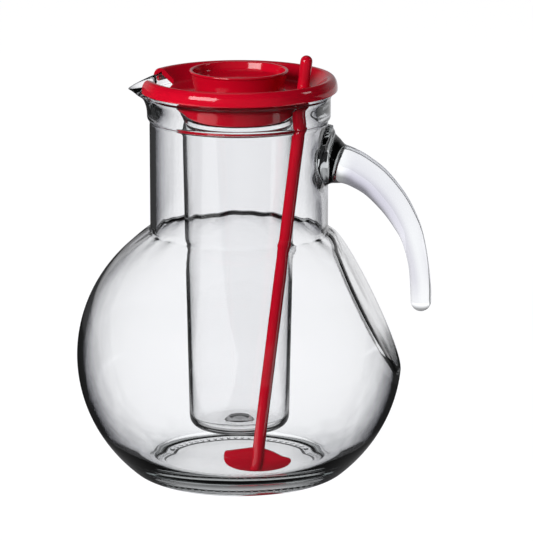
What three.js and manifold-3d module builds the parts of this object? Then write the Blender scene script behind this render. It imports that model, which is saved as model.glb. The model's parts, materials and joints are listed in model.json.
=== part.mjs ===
// A ball-shaped glass jug for cold drinks, with a plastic lid, an ice tube, the tube's cap and a stirrer.
// Millimetres, +Z up. The origin is where the jug's axis meets the plane that it stands on.
// The beak points along -X and the handle along +X. The lid sits a few degrees round from the beak.

import * as THREE from "three";
import { mergeVertices } from "three/addons/utils/BufferGeometryUtils.js";
import Module from "manifold-3d";

const wasm = await Module();
wasm.setup();

// Glass body
const bulbRadius = 82.3;
const bulbHeightShare = 0.941;
const glassWall = 3;
const footRadius = 48;
const heelReach = 3.4;
const bearingRingWidth = 9;
const undersideRecess = 0.5;
const baseThickness = 4.4;
const floorInset = 4;
const floorStep = 2.6;
const floorRimAngle = THREE.MathUtils.degToRad(12);
const neckLength = 57.5;
const junctionFillet = 3;
const bandStep = 1.2;
const bandLength = 10.8;
const lipStep = 1.5;
const lipLength = 7.1;
const lipRounding = 1.2;
const mouthFlare = 3.5;
const mouthSeatLength = 14;

// Flat grip face that is pressed into the ball under the handle
const gripFaceDepth = 11.4;
const gripFaceTilt = THREE.MathUtils.degToRad(26.7);
const gripFaceGuard = 0.4;

// Beak, drawn out of the lip
const beakReach = 8.3;
const beakDrop = 3.5;
const beakHeight = 17;
const beakHalfAngle = THREE.MathUtils.degToRad(17);
const beakSharpness = 1.4;
const beakHollow = 2.2;

// Glass handle, a tapering bar with a free lower end, laid hot on the neck
const handleRootDrop = 22.2;
const handleStandOff = 9.5;
const handleFall = 72;
const handleHalfThickness = 9.4;
const handleHalfWidth = 9.8;
const handleGap = 0.3;

// Lid
const lidTurn = THREE.MathUtils.degToRad(-6);
const lidWall = 1.5;
const lidSeatClearance = 0.3;
const lidSkirtClearance = 0.4;
const beadHeadroom = 1.1;
const beadCrestInset = 1.1;
const skirtDrop = 4.4;
const deckDrop = 4.7;
const deckInset = 3.7;
const notchHalfWidth = 17.3;
const notchInset = 6.2;

// Sleeve under the lid, and the bayonet that carries the ice tube
const sleeveLength = 11.8;
const sleeveWall = 2;
const tubeClearance = 0.4;
const lugCount = 3;
const lugStep = 0.8;
const lugHeight = 2.4;
const lugWidth = 5.4;
const lugDepth = 6.7;
const lugClearance = 0.3;
const bayonetTurn = THREE.MathUtils.degToRad(35);

// Ice tube
const tubeRadius = 28.3;
const tubeTaper = 3;
const tubeWall = 1.7;
const tubeBottomHeight = 23.4;
const tubeFloorThickness = 2.8;
const tubeCornerRadius = 6;
const tubeFlangeThickness = 1.5;
const tubeTopGap = 0.3;
const gateRadius = 5.4;
const gateHeight = 2.6;
const gateDepth = 1.6;

// Cap of the ice tube
const capPlugInset = 1.9;
const capRimHeight = 1.4;
const capRimStep = 0.6;
const capStand = 10.6;
const capTaper = 0.173;
const capWall = 1.5;
const capRecess = 4.2;
const capPlugLength = 7.7;
const capClearance = 0.3;

// Stirrer
const shaftRadius = 3;
const shaftClearance = 0.35;
const stirrerSleeveGap = 1.4;
const stirrerNeckGap = 3.6;
const stirrerFootInset = 1;
const stirrerHoleAzimuth = THREE.MathUtils.degToRad(-19);
const stirrerFootAzimuth = THREE.MathUtils.degToRad(-69);
const stirrerRise = 20.5;
const stirrerFloorGap = 0.5;
const paddleHalfWidth = 16.9;
const paddleHeight = 16.2;
const paddleShoulderDrop = 3.4;
const paddleCornerRadius = 2.4;
const paddleThickness = 2.6;
const paddleTurn = THREE.MathUtils.degToRad(14);
const shaftEndInset = 2.2;

// How finely round shapes are divided
const bodySteps = 48;
const smallSteps = 36;
const ballSteps = 9;
const filletSteps = 3;
const handleSteps = 22;
const handleSides = 16;
const tipSteps = 4;
const beakStepShares = [0.14, 0.28, 0.43, 0.6, 0.8, 1];

// Every cut runs past the surface that it opens by this much.
const overrun = 4;

// Radii that follow from the sizes above, outwards from the ice tube: its sleeve, the stirrer beside
// the sleeve, and the neck round both
const sleeveBore = tubeRadius + tubeClearance;
const sleeveRadius = sleeveBore + sleeveWall;
const lugRadius = tubeRadius + lugStep;
const grooveRadius = lugRadius + lugClearance;
const capRimRadius = tubeRadius - tubeWall - capPlugInset;
const capSideTop = capRimRadius - capRimStep;
const stirrerHoleRadius = sleeveRadius + stirrerSleeveGap + shaftRadius;
const stirrerFootRadius = stirrerHoleRadius - stirrerFootInset;
const boreRadius = stirrerHoleRadius + shaftRadius + stirrerNeckGap;
const notchBack = boreRadius - notchInset;
const deckRadius = boreRadius - deckInset;
const neckRadius = boreRadius + glassWall;
const bandRadius = neckRadius + bandStep;
const lipRadius = bandRadius + lipStep;
const innerRadius = bulbRadius - glassWall;
const floorRadius = footRadius - floorInset;
const floorRimHeight = baseThickness + floorStep;
const gripFaceDistance = bulbRadius - gripFaceDepth;
const handleReach = bulbRadius + handleStandOff - neckRadius;

// Heights that follow. The ball stands so that it meets the table just outside its foot.
const bulbCentreHeight = Math.sqrt(bulbRadius ** 2 - (footRadius + heelReach) ** 2) * bulbHeightShare;
const neckFootRise = Math.sqrt(bulbRadius ** 2 - neckRadius ** 2) * bulbHeightShare;
const neckFootHeight = bulbCentreHeight + neckFootRise;
const bandFootHeight = neckFootHeight + neckLength;
const bandTopHeight = bandFootHeight + bandLength;
const lipTopHeight = bandTopHeight + lipLength;
const handleRootHeight = bandFootHeight - handleRootDrop;
const seatTopHeight = lipTopHeight - lipRounding;
const seatFootHeight = seatTopHeight - mouthSeatLength;
const seatSlope = mouthFlare / mouthSeatLength;
const deckTopHeight = lipTopHeight - deckDrop;
const deckUnderHeight = deckTopHeight - lidWall;
const sleeveFootHeight = deckUnderHeight - sleeveLength;
const tubeTopHeight = deckUnderHeight - tubeTopGap;
const lugTopHeight = tubeTopHeight - lugDepth;
const capTopHeight = deckTopHeight + capStand;
const capFootHeight = deckUnderHeight - capPlugLength;

const vec2 = (r, z) => new THREE.Vector2(r, z);

// Points of an arc in a profile, both ends included; angles in radians from the outward direction.
function arc(centreR, centreZ, radiusR, radiusZ, from, to, steps) {
  const points = [];
  for (let i = 0; i <= steps; i += 1) {
    const angle = from + ((to - from) * i) / steps;
    points.push(vec2(centreR + radiusR * Math.cos(angle), centreZ + radiusZ * Math.sin(angle)));
  }
  return points;
}

// Azimuths of an even division of the circle.
function evenAzimuths(steps) {
  return Array.from({ length: steps }, (_, i) => (2 * Math.PI * i) / steps);
}

// The same, with a finer division over the beak at azimuth pi.
function beakAzimuths(steps) {
  const even = evenAzimuths(steps).filter((a) => Math.abs(a - Math.PI) > beakHalfAngle * 1.2);
  const sides = beakStepShares.flatMap((share) => [-share, share]);
  const fine = [0, ...sides].map((share) => Math.PI + share * beakHalfAngle);
  return [...even, ...fine].sort((a, b) => a - b);
}

// Closed surface of revolution. The profile runs anticlockwise in the (radius, height) half plane:
// from axis to axis, or round a ring whose last point is its first.
function revolve(profile, azimuths, move = (p) => p) {
  const closed = profile[0].equals(profile.at(-1));
  const points = closed ? profile.slice(0, -1) : profile;
  const count = azimuths.length;
  const positions = [];
  for (const point of points) {
    for (const azimuth of azimuths) {
      const place = new THREE.Vector3(
        point.x * Math.cos(azimuth),
        point.x * Math.sin(azimuth),
        point.y,
      );
      positions.push(...move(place).toArray());
    }
  }
  const index = [];
  const bands = closed ? points.length : points.length - 1;
  for (let row = 0; row < bands; row += 1) {
    const next = (row + 1) % points.length;
    for (let i = 0; i < count; i += 1) {
      const j = (i + 1) % count;
      const a = row * count + i;
      const b = row * count + j;
      const c = next * count + j;
      const d = next * count + i;
      if (points[row].x > 0) index.push(a, b, c);
      if (points[next].x > 0) index.push(a, c, d);
    }
  }
  return closedGeometry(positions, index);
}

// Merges the vertices that meet, on the axis or at a seam, into one closed surface.
function closedGeometry(positions, index) {
  const geometry = new THREE.BufferGeometry();
  geometry.setAttribute("position", new THREE.Float32BufferAttribute(positions, 3));
  geometry.setIndex(index);
  return mergeVertices(geometry, 1e-4);
}

function toSolid(geometry) {
  const bare = geometry.clone();
  bare.deleteAttribute("normal");
  bare.deleteAttribute("uv");
  const merged = mergeVertices(bare, 1e-4);
  const mesh = new wasm.Mesh({
    numProp: 3,
    vertProperties: merged.attributes.position.array,
    triVerts: new Uint32Array(merged.index.array),
  });
  return new wasm.Manifold(mesh);
}

function toGeometry(solid) {
  const mesh = solid.getMesh();
  const geometry = new THREE.BufferGeometry();
  geometry.setAttribute("position", new THREE.BufferAttribute(mesh.vertProperties, mesh.numProp));
  geometry.setIndex(new THREE.BufferAttribute(mesh.triVerts, 1));
  return geometry;
}

// A cylinder along Z between two heights.
function post(radius, low, high, steps) {
  const geometry = new THREE.CylinderGeometry(radius, radius, high - low, steps);
  geometry.rotateX(Math.PI / 2);
  geometry.translate(0, 0, (low + high) / 2);
  return geometry;
}

function block(low, high) {
  const size = high.clone().sub(low);
  const centre = low.clone().add(high).multiplyScalar(0.5);
  const geometry = new THREE.BoxGeometry(size.x, size.y, size.z);
  geometry.translate(centre.x, centre.y, centre.z);
  return geometry;
}

// Radius of an arc that leaves a point at an angle to the level and runs into a ball from inside.
function cornerRadius(ballRadius, drop, flatRadius, angle) {
  const room = ballRadius ** 2 - flatRadius ** 2 - drop ** 2;
  return room / (2 * (ballRadius - flatRadius * Math.sin(angle) - drop * Math.cos(angle)));
}

// Profile of the ball on a flat foot, up to the fillet where the neck stands on it. It is worked out
// on a true ball about the origin, and then set to its height share.
function ballProfile(radius, flatRadius, flatHeight, rimAngle, throatRadius, fillet) {
  const drop = (bulbCentreHeight - flatHeight) / bulbHeightShare;
  const corner = cornerRadius(radius, drop, flatRadius, rimAngle);
  const cornerR = flatRadius - corner * Math.sin(rimAngle);
  const cornerZ = corner * Math.cos(rimAngle) - drop;
  const cornerEnd = Math.atan2(cornerZ, cornerR);
  const filletR = throatRadius + fillet;
  const filletZ = Math.sqrt((radius + fillet) ** 2 - filletR ** 2);
  const ballEnd = Math.atan2(filletZ, filletR);
  const cornerStart = rimAngle - Math.PI / 2;
  const cornerArc = arc(cornerR, cornerZ, corner, corner, cornerStart, cornerEnd, filletSteps);
  const ballArc = arc(0, 0, radius, radius, cornerEnd, ballEnd, ballSteps);
  const filletArc = arc(filletR, filletZ, fillet, fillet, Math.PI + ballEnd, Math.PI, filletSteps);
  const points = [...cornerArc, ...ballArc.slice(1), ...filletArc.slice(1)];
  return points.map((point) => vec2(point.x, bulbCentreHeight + point.y * bulbHeightShare));
}

// Draws the glass out and down into the beak. Points below it and away from it stay where they are.
function drawBeak(place) {
  const radius = Math.hypot(place.x, place.y);
  const away = Math.PI - Math.abs(Math.atan2(place.y, place.x));
  const rise = (place.z - (lipTopHeight - beakHeight)) / beakHeight;
  if (radius < boreRadius / 2 || away >= beakHalfAngle || rise <= 0) return place;
  const pull = (1 - away / beakHalfAngle) ** beakSharpness * Math.min(rise, 1) ** beakHollow;
  const stretch = (radius + beakReach * pull) / radius;
  return new THREE.Vector3(place.x * stretch, place.y * stretch, place.z - beakDrop * pull);
}

// The space in front of the grip face, kept clear of the neck.
function gripFaceCut(distance, throatRadius) {
  const depth = bulbRadius - gripFaceDistance + 2 * overrun;
  const halfWidth = bulbRadius;
  const topReach = neckRadius;
  const low = new THREE.Vector3(distance, -halfWidth, -halfWidth);
  const high = new THREE.Vector3(distance + depth, halfWidth, topReach);
  const cut = block(low, high);
  cut.rotateY(-gripFaceTilt);
  cut.translate(0, 0, bulbCentreHeight);
  const guard = post(throatRadius + gripFaceGuard, bulbCentreHeight, bandTopHeight, bodySteps);
  return toSolid(cut).subtract(toSolid(guard));
}

function glassOutside() {
  const ringInner = footRadius - bearingRingWidth;
  const profile = [
    vec2(0, undersideRecess),
    vec2(ringInner, undersideRecess),
    vec2(ringInner + undersideRecess, 0),
    ...ballProfile(bulbRadius, footRadius, 0, 0, neckRadius, junctionFillet),
    vec2(neckRadius, bandFootHeight - bandStep),
    vec2(bandRadius, bandFootHeight),
    vec2(bandRadius, bandTopHeight),
    ...arc(bandRadius, bandTopHeight + lipStep, lipStep, lipStep, -Math.PI / 4, 0, 1),
    ...arc(lipRadius - lipRounding, seatTopHeight, lipRounding, lipRounding, 0, Math.PI / 2, filletSteps),
    vec2(0, lipTopHeight),
  ];
  return toSolid(revolve(profile, beakAzimuths(bodySteps), drawBeak));
}

function glassInside() {
  const profile = [
    vec2(0, baseThickness),
    vec2(floorRadius - floorStep / 2, baseThickness),
    ...ballProfile(innerRadius, floorRadius, floorRimHeight, floorRimAngle, boreRadius, junctionFillet + glassWall),
    vec2(boreRadius, seatFootHeight),
    vec2(boreRadius + mouthFlare, seatTopHeight),
    vec2(lipRadius - lipRounding, lipTopHeight),
    vec2(lipRadius - lipRounding + overrun, lipTopHeight + overrun),
    vec2(0, lipTopHeight + overrun),
  ];
  return toSolid(revolve(profile, beakAzimuths(bodySteps), drawBeak));
}

function glassJug() {
  const outside = glassOutside().subtract(gripFaceCut(gripFaceDistance, neckRadius));
  const inside = glassInside().subtract(gripFaceCut(gripFaceDistance - glassWall, boreRadius));
  return toGeometry(outside.subtract(inside));
}

// Stations along the handle's middle line, as shares of its reach and fall, with the shares of its
// half thickness and half width there. The first lies inside the neck, where it is cut away.
const handleStationShares = [
  [-0.09, 0, 2.15, 2.1],
  [0, 0, 1.75, 1.75],
  [0.05, 0.005, 1.36, 1.4],
  [0.115, 0.017, 1.1, 1.16],
  [0.21, 0.033, 1, 1.02],
  [0.33, 0.07, 0.95, 0.95],
  [0.505, 0.15, 0.88, 0.89],
  [0.69, 0.285, 0.8, 0.85],
  [0.82, 0.42, 0.71, 0.8],
  [0.905, 0.545, 0.62, 0.76],
  [0.97, 0.73, 0.55, 0.71],
  [0.995, 0.9, 0.56, 0.68],
  [1, 1, 0.55, 0.65],
];

// A point and the half sizes of the handle's section, at a share of its length.
function handleStation(lengthShare) {
  const middle = new THREE.CatmullRomCurve3(
    handleStationShares.map(
      ([reach, fall]) =>
        new THREE.Vector3(neckRadius + reach * handleReach, 0, handleRootHeight - fall * handleFall),
    ),
  );
  const sizes = new THREE.CatmullRomCurve3(
    handleStationShares.map(
      ([, , thick, wide]) =>
        new THREE.Vector3(thick * handleHalfThickness, wide * handleHalfWidth, 0),
    ),
  );
  const size = sizes.getPoint(lengthShare);
  return {
    centre: middle.getPoint(lengthShare),
    along: middle.getTangent(lengthShare),
    halfThickness: size.x,
    halfWidth: size.y,
  };
}

// One oval ring of the handle, square to its middle line.
function handleRing({ centre, along, halfThickness, halfWidth }) {
  const across = new THREE.Vector3(0, 1, 0);
  const out = new THREE.Vector3().crossVectors(across, along).normalize();
  return evenAzimuths(handleSides).map((angle) =>
    centre
      .clone()
      .addScaledVector(out, halfThickness * Math.cos(angle))
      .addScaledVector(across, halfWidth * Math.sin(angle)),
  );
}

function glassHandle() {
  const stations = [];
  for (let i = 0; i <= handleSteps; i += 1) {
    stations.push(handleStation(i / handleSteps));
  }
  const end = stations.at(-1);
  for (let i = 1; i < tipSteps; i += 1) {
    const angle = (Math.PI / 2) * (i / tipSteps);
    stations.push({
      ...end,
      centre: end.centre.clone().addScaledVector(end.along, end.halfThickness * Math.sin(angle)),
      halfThickness: end.halfThickness * Math.cos(angle),
      halfWidth: end.halfWidth * Math.cos(angle),
    });
  }
  const tip = end.centre.clone().addScaledVector(end.along, end.halfThickness);
  const rings = stations.map(handleRing);
  const bar = toSolid(loft(rings, stations[0].centre, tip));
  const neck = post(neckRadius + handleGap, neckFootHeight, bandTopHeight, bodySteps * 2);
  return toGeometry(bar.subtract(toSolid(neck)));
}

// Closed surface over a row of rings of equal count, with a point at either end.
function loft(rings, start, finish) {
  const count = rings[0].length;
  const points = [...rings.flat(), start, finish];
  const startIndex = points.length - 2;
  const finishIndex = points.length - 1;
  const index = [];
  for (let i = 0; i < count; i += 1) {
    const j = (i + 1) % count;
    const last = (rings.length - 1) * count;
    index.push(startIndex, j, i);
    index.push(finishIndex, last + i, last + j);
    for (let row = 0; row < rings.length - 1; row += 1) {
      const a = row * count;
      const b = a + count;
      index.push(a + i, a + j, b + j);
      index.push(a + i, b + j, b + i);
    }
  }
  return closedGeometry(points.flatMap((p) => p.toArray()), index);
}

// Radius of the mouth's conical seat at a height.
function seatRadiusAt(height) {
  return boreRadius + (height - seatFootHeight) * seatSlope;
}

// Where the stirrer's axis meets the deck and the floor, in the lid's frame.
const stirrerFoot = new THREE.Vector3(
  stirrerFootRadius * Math.cos(stirrerFootAzimuth),
  stirrerFootRadius * Math.sin(stirrerFootAzimuth),
  baseThickness + stirrerFloorGap,
);
const stirrerAtDeck = new THREE.Vector3(
  stirrerHoleRadius * Math.cos(stirrerHoleAzimuth),
  stirrerHoleRadius * Math.sin(stirrerHoleAzimuth),
  deckTopHeight,
);
const stirrerUp = stirrerAtDeck.clone().sub(stirrerFoot).normalize();

// Turns a shape that stands on the origin along +Z onto the stirrer's axis.
function stirrerPlacement() {
  const side = new THREE.Vector3(1, 0, 0);
  side.addScaledVector(stirrerUp, -side.dot(stirrerUp)).normalize();
  const front = new THREE.Vector3().crossVectors(stirrerUp, side);
  const place = new THREE.Matrix4().makeBasis(side, front, stirrerUp);
  place.setPosition(stirrerFoot);
  return place.multiply(new THREE.Matrix4().makeRotationZ(paddleTurn));
}

// The lid's section: deck, conical inner leg, rolled bead, outer skirt and the sleeve under the deck.
function lidProfile() {
  const legInset = lidSeatClearance + lidWall;
  const crestHeight = lipTopHeight + beadHeadroom + lidWall;
  const skirtBore = lipRadius + lidSkirtClearance;
  const skirtRadius = skirtBore + lidWall;
  const skirtFoot = lipTopHeight - skirtDrop;
  const crestRadius = lipRadius - beadCrestInset;
  const shoulderHeight = crestHeight - lidWall - lidWall / 4;
  const shoulderRadius = seatRadiusAt(shoulderHeight) - legInset;
  const cavityTop = crestHeight - lidWall;
  const cavityShoulder = seatRadiusAt(seatTopHeight + lidWall / 2) - lidSeatClearance;
  const holeTop = capSideTop - (capStand - capRimHeight) * capTaper + capClearance;
  const holeFoot = holeTop - lidWall * capTaper;
  const grooveTop = lugTopHeight + lugClearance;
  const grooveFoot = lugTopHeight - lugHeight - lugClearance;
  const outerRise = crestHeight - (skirtFoot + lidWall);
  return [
    vec2(holeFoot, deckUnderHeight),
    vec2(sleeveBore, deckUnderHeight),
    vec2(sleeveBore, grooveTop),
    vec2(grooveRadius, grooveTop),
    vec2(grooveRadius, grooveFoot),
    vec2(sleeveBore, grooveFoot),
    vec2(sleeveBore, sleeveFootHeight),
    vec2(sleeveRadius, sleeveFootHeight),
    vec2(sleeveRadius, deckUnderHeight),
    vec2(deckRadius + lidWall, deckUnderHeight),
    vec2(cavityShoulder, seatTopHeight + lidWall / 2),
    vec2((cavityShoulder + crestRadius) / 2, cavityTop - lidWall / 4),
    vec2(crestRadius, cavityTop),
    vec2(skirtBore - lidWall / 4, cavityTop - lidWall),
    vec2(skirtBore, seatTopHeight),
    vec2(skirtBore, skirtFoot),
    vec2(skirtRadius - lidWall / 3, skirtFoot),
    ...arc(crestRadius, skirtFoot + lidWall, skirtRadius - crestRadius, outerRise, 0, Math.PI / 2, 6),
    vec2((crestRadius + shoulderRadius) / 2, crestHeight - lidWall / 3),
    vec2(shoulderRadius, shoulderHeight),
    vec2(deckRadius, deckTopHeight),
    vec2(holeTop, deckTopHeight),
    vec2(holeFoot, deckUnderHeight),
  ];
}

// Ways up which the tube's lugs enter, a bayonet turn away from where they lock.
function lugEntries() {
  const halfWidth = lugWidth / 2 + 2 * lugClearance;
  const low = new THREE.Vector3(tubeRadius - lugStep, -halfWidth, sleeveFootHeight - overrun);
  const high = new THREE.Vector3(grooveRadius, halfWidth, lugTopHeight);
  const entries = [];
  for (let i = 0; i < lugCount; i += 1) {
    const entry = block(low, high);
    entry.rotateZ((2 * Math.PI * i) / lugCount + bayonetTurn);
    entries.push(toSolid(entry));
  }
  return entries;
}

function lid() {
  let solid = toSolid(revolve(lidProfile(), evenAzimuths(bodySteps)));
  const notchLow = new THREE.Vector3(-lipRadius - 2 * overrun, -notchHalfWidth, deckUnderHeight - overrun);
  const notchHigh = new THREE.Vector3(-notchBack, notchHalfWidth, lipTopHeight + 2 * overrun);
  solid = solid.subtract(toSolid(block(notchLow, notchHigh)));
  const drill = post(shaftRadius + shaftClearance, 0, deckTopHeight + overrun, smallSteps);
  drill.applyMatrix4(stirrerPlacement());
  solid = solid.subtract(toSolid(drill));
  for (const entry of lugEntries()) solid = solid.subtract(entry);
  return toGeometry(solid);
}

function capProfile() {
  const sideHeight = capTopHeight - capRimHeight;
  const sideAt = (height) => capSideTop - (sideHeight - height) * capTaper;
  const recessFloor = capTopHeight - capRecess;
  const hollowTop = recessFloor - capWall;
  return [
    vec2(0, hollowTop),
    vec2(sideAt(hollowTop) - capWall - capRimStep, hollowTop),
    vec2(sideAt(hollowTop - capWall) - capWall, hollowTop - capWall),
    vec2(sideAt(capFootHeight) - capWall, capFootHeight),
    vec2(sideAt(capFootHeight), capFootHeight),
    vec2(sideAt(sideHeight), sideHeight),
    vec2(capRimRadius, sideHeight + capRimStep),
    vec2(capRimRadius - capRimStep / 2, capTopHeight),
    vec2(capRimRadius - capWall, capTopHeight),
    vec2(sideAt(recessFloor) - capWall, recessFloor + capRimStep),
    vec2(sideAt(recessFloor) - capWall - capRimStep, recessFloor),
    vec2(0, recessFloor),
  ];
}

function tubeCap() {
  return toGeometry(toSolid(revolve(capProfile(), evenAzimuths(bodySteps))));
}

// The ice tube's section, with the raised gate dimple in the middle of its floor.
function tubeProfile() {
  const flangeTop = sleeveFootHeight - tubeTopGap;
  const flangeFoot = flangeTop - tubeFlangeThickness;
  const footRadiusOuter = tubeRadius - tubeTaper;
  const cornerZ = tubeBottomHeight + tubeCornerRadius;
  const floorHeight = tubeBottomHeight + tubeFloorThickness;
  const innerCorner = tubeCornerRadius - tubeWall;
  const innerFoot = footRadiusOuter - tubeWall;
  return [
    vec2(0, tubeBottomHeight + gateDepth),
    vec2(gateRadius, tubeBottomHeight + gateDepth / 2),
    vec2(gateRadius + gateDepth, tubeBottomHeight),
    ...arc(footRadiusOuter - tubeCornerRadius, cornerZ, tubeCornerRadius, tubeCornerRadius, -Math.PI / 2, 0, 4),
    vec2(tubeRadius, flangeFoot - tubeFlangeThickness),
    vec2(sleeveRadius, flangeFoot),
    vec2(sleeveRadius, flangeTop),
    vec2(tubeRadius, flangeTop),
    vec2(tubeRadius, tubeTopHeight),
    vec2(tubeRadius - tubeWall, tubeTopHeight),
    vec2(tubeRadius - tubeWall, flangeFoot),
    ...arc(innerFoot - innerCorner, floorHeight + innerCorner, innerCorner, innerCorner, 0, -Math.PI / 2, 3),
    vec2(gateRadius + gateDepth, floorHeight),
    vec2(gateRadius, floorHeight + gateHeight * 0.7),
    vec2(0, floorHeight + gateHeight),
  ];
}

function iceTube() {
  let solid = toSolid(revolve(tubeProfile(), evenAzimuths(smallSteps)));
  const low = new THREE.Vector3(tubeRadius - tubeWall / 2, -lugWidth / 2, lugTopHeight - lugHeight);
  const high = new THREE.Vector3(lugRadius, lugWidth / 2, lugTopHeight);
  for (let i = 0; i < lugCount; i += 1) {
    const lug = block(low, high);
    lug.rotateZ((2 * Math.PI * i) / lugCount);
    solid = solid.add(toSolid(lug));
  }
  return toGeometry(solid);
}

// Half-round blade with sloping shoulders, flat in the XZ plane and standing on the origin.
function paddleBlade() {
  const shoulder = paddleHeight - paddleShoulderDrop;
  const bowl = shoulder - paddleCornerRadius;
  const inner = paddleHalfWidth - paddleCornerRadius;
  const shape = new THREE.Shape();
  shape.moveTo(0, paddleHeight);
  shape.lineTo(-inner, shoulder);
  shape.quadraticCurveTo(-paddleHalfWidth, shoulder, -paddleHalfWidth, bowl);
  shape.absellipse(0, bowl, paddleHalfWidth, bowl, Math.PI, 2 * Math.PI, false, 0);
  shape.quadraticCurveTo(paddleHalfWidth, shoulder, inner, shoulder);
  shape.closePath();
  const blade = new THREE.ExtrudeGeometry(shape, {
    depth: paddleThickness,
    bevelEnabled: false,
    curveSegments: 16,
  });
  blade.translate(0, 0, -paddleThickness / 2);
  blade.rotateX(Math.PI / 2);
  return blade;
}

function stirrer() {
  const length = stirrerAtDeck.distanceTo(stirrerFoot) + stirrerRise;
  const profile = [
    vec2(0, shaftEndInset),
    vec2(shaftRadius, shaftEndInset),
    ...arc(0, length - shaftRadius, shaftRadius, shaftRadius, 0, Math.PI / 2, 4),
  ];
  profile.at(-1).setX(0);
  const shaft = toSolid(revolve(profile, evenAzimuths(smallSteps / 2)));
  const geometry = toGeometry(shaft.add(toSolid(paddleBlade())));
  geometry.applyMatrix4(stirrerPlacement());
  return geometry;
}

const glass = new THREE.MeshStandardMaterial({
  color: 0xf2f6f5,
  roughness: 0.03,
  metalness: 0,
  transparent: true,
  opacity: 0.35,
});
const clearPlastic = new THREE.MeshStandardMaterial({
  color: 0xf4f6f6,
  roughness: 0.08,
  metalness: 0,
  transparent: true,
  opacity: 0.3,
});
const redPlastic = new THREE.MeshStandardMaterial({ color: 0xc8001c, roughness: 0.18, metalness: 0 });

function named(name, geometry, material) {
  const mesh = new THREE.Mesh(geometry, material);
  mesh.name = name;
  return mesh;
}

const jug = new THREE.Group();
jug.add(named("glass_jug", glassJug(), glass));
jug.add(named("glass_handle", glassHandle(), glass));

const lidSet = new THREE.Group();
lidSet.rotation.z = lidTurn;
lidSet.add(named("lid", lid(), redPlastic));
lidSet.add(named("tube_cap", tubeCap(), redPlastic));
lidSet.add(named("ice_tube", iceTube(), clearPlastic));
lidSet.add(named("stirrer", stirrer(), redPlastic));
jug.add(lidSet);

export default jug;
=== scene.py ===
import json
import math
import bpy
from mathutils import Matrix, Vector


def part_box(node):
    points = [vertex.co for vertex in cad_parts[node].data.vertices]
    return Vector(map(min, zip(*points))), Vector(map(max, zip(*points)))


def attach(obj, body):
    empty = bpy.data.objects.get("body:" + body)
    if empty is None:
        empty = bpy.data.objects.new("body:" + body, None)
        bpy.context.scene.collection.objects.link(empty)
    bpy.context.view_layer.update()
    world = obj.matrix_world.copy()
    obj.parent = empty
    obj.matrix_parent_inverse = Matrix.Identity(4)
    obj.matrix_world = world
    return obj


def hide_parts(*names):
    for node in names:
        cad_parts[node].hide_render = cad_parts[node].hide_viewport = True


bl_info = {
    "name": "Glass jug with lid, ice tube and stirrer",
    "version": (1, 0, 0),
    "blender": (4, 5, 0),
    "location": "View3D > Sidebar > Jug",
    "description": "Builds a ball-shaped glass jug with its plastic lid, ice tube and stirrer",
    "category": "Object",
}

import bmesh
import bpy
import numpy as np
from mathutils import Matrix, Vector

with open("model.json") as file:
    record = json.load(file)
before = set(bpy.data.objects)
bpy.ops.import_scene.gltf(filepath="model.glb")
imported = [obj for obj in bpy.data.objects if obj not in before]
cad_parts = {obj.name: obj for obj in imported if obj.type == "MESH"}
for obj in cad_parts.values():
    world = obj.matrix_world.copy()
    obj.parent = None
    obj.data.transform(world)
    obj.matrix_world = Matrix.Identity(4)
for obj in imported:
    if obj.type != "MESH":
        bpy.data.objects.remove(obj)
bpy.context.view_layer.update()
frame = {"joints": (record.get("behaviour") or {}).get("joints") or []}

MM = 0.001
TURN = 2 * math.pi

# The photograph's frame, in pixels, and the camera's place round the jug's axis
IMAGE_WIDTH = 533
IMAGE_HEIGHT = 541
SENSOR = 36.0
FOCAL_PIXELS = 3461.1
AXIS_PIXEL = 238.434
CAMERA_DISTANCE = 1.7
CAMERA_HEIGHT = 0.50915
CAMERA_PITCH = 0.234
CAMERA_AZIMUTH = math.radians(2.0)

# Heights that the frame's nodes give
LIP_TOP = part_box("glass_jug")[1].z
LID_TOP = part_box("lid")[1].z
TUBE_FOOT, TUBE_TOP = [corner.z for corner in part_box("ice_tube")]
CAP_FOOT, CAP_TOP = [corner.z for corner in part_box("tube_cap")]

# How many sides the round plastic pieces have, and past which angles in degrees their edges stay crisp
LID_SIDES = 240
ROUND_SIDES = 160
ROD_SIDES = 48
LID_CREASE = 35.0
STIRRER_CREASE = 40.0

# The lid set's turn against the jug, and the paddle's about its own shaft
LID_TURN = math.radians(-6.0)
PADDLE_TURN = math.radians(14.0)


def length(name, description, size_mm):
    """A length property in metres, with its default given in millimetres."""
    return bpy.props.FloatProperty(
        name=name,
        description=description,
        default=size_mm * MM,
        min=0.0,
        precision=5,
        unit="LENGTH",
        subtype="DISTANCE",
    )


def colour(name, description, rgb):
    """A colour property, given as linear red, green and blue."""
    return bpy.props.FloatVectorProperty(
        name=name, description=description, default=rgb, size=3, min=0.0, max=1.0, subtype="COLOR"
    )


def share(name, description, value):
    """A property between 0 and 1."""
    return bpy.props.FloatProperty(
        name=name, description=description, default=value, min=0.0, max=1.0, subtype="FACTOR"
    )


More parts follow.
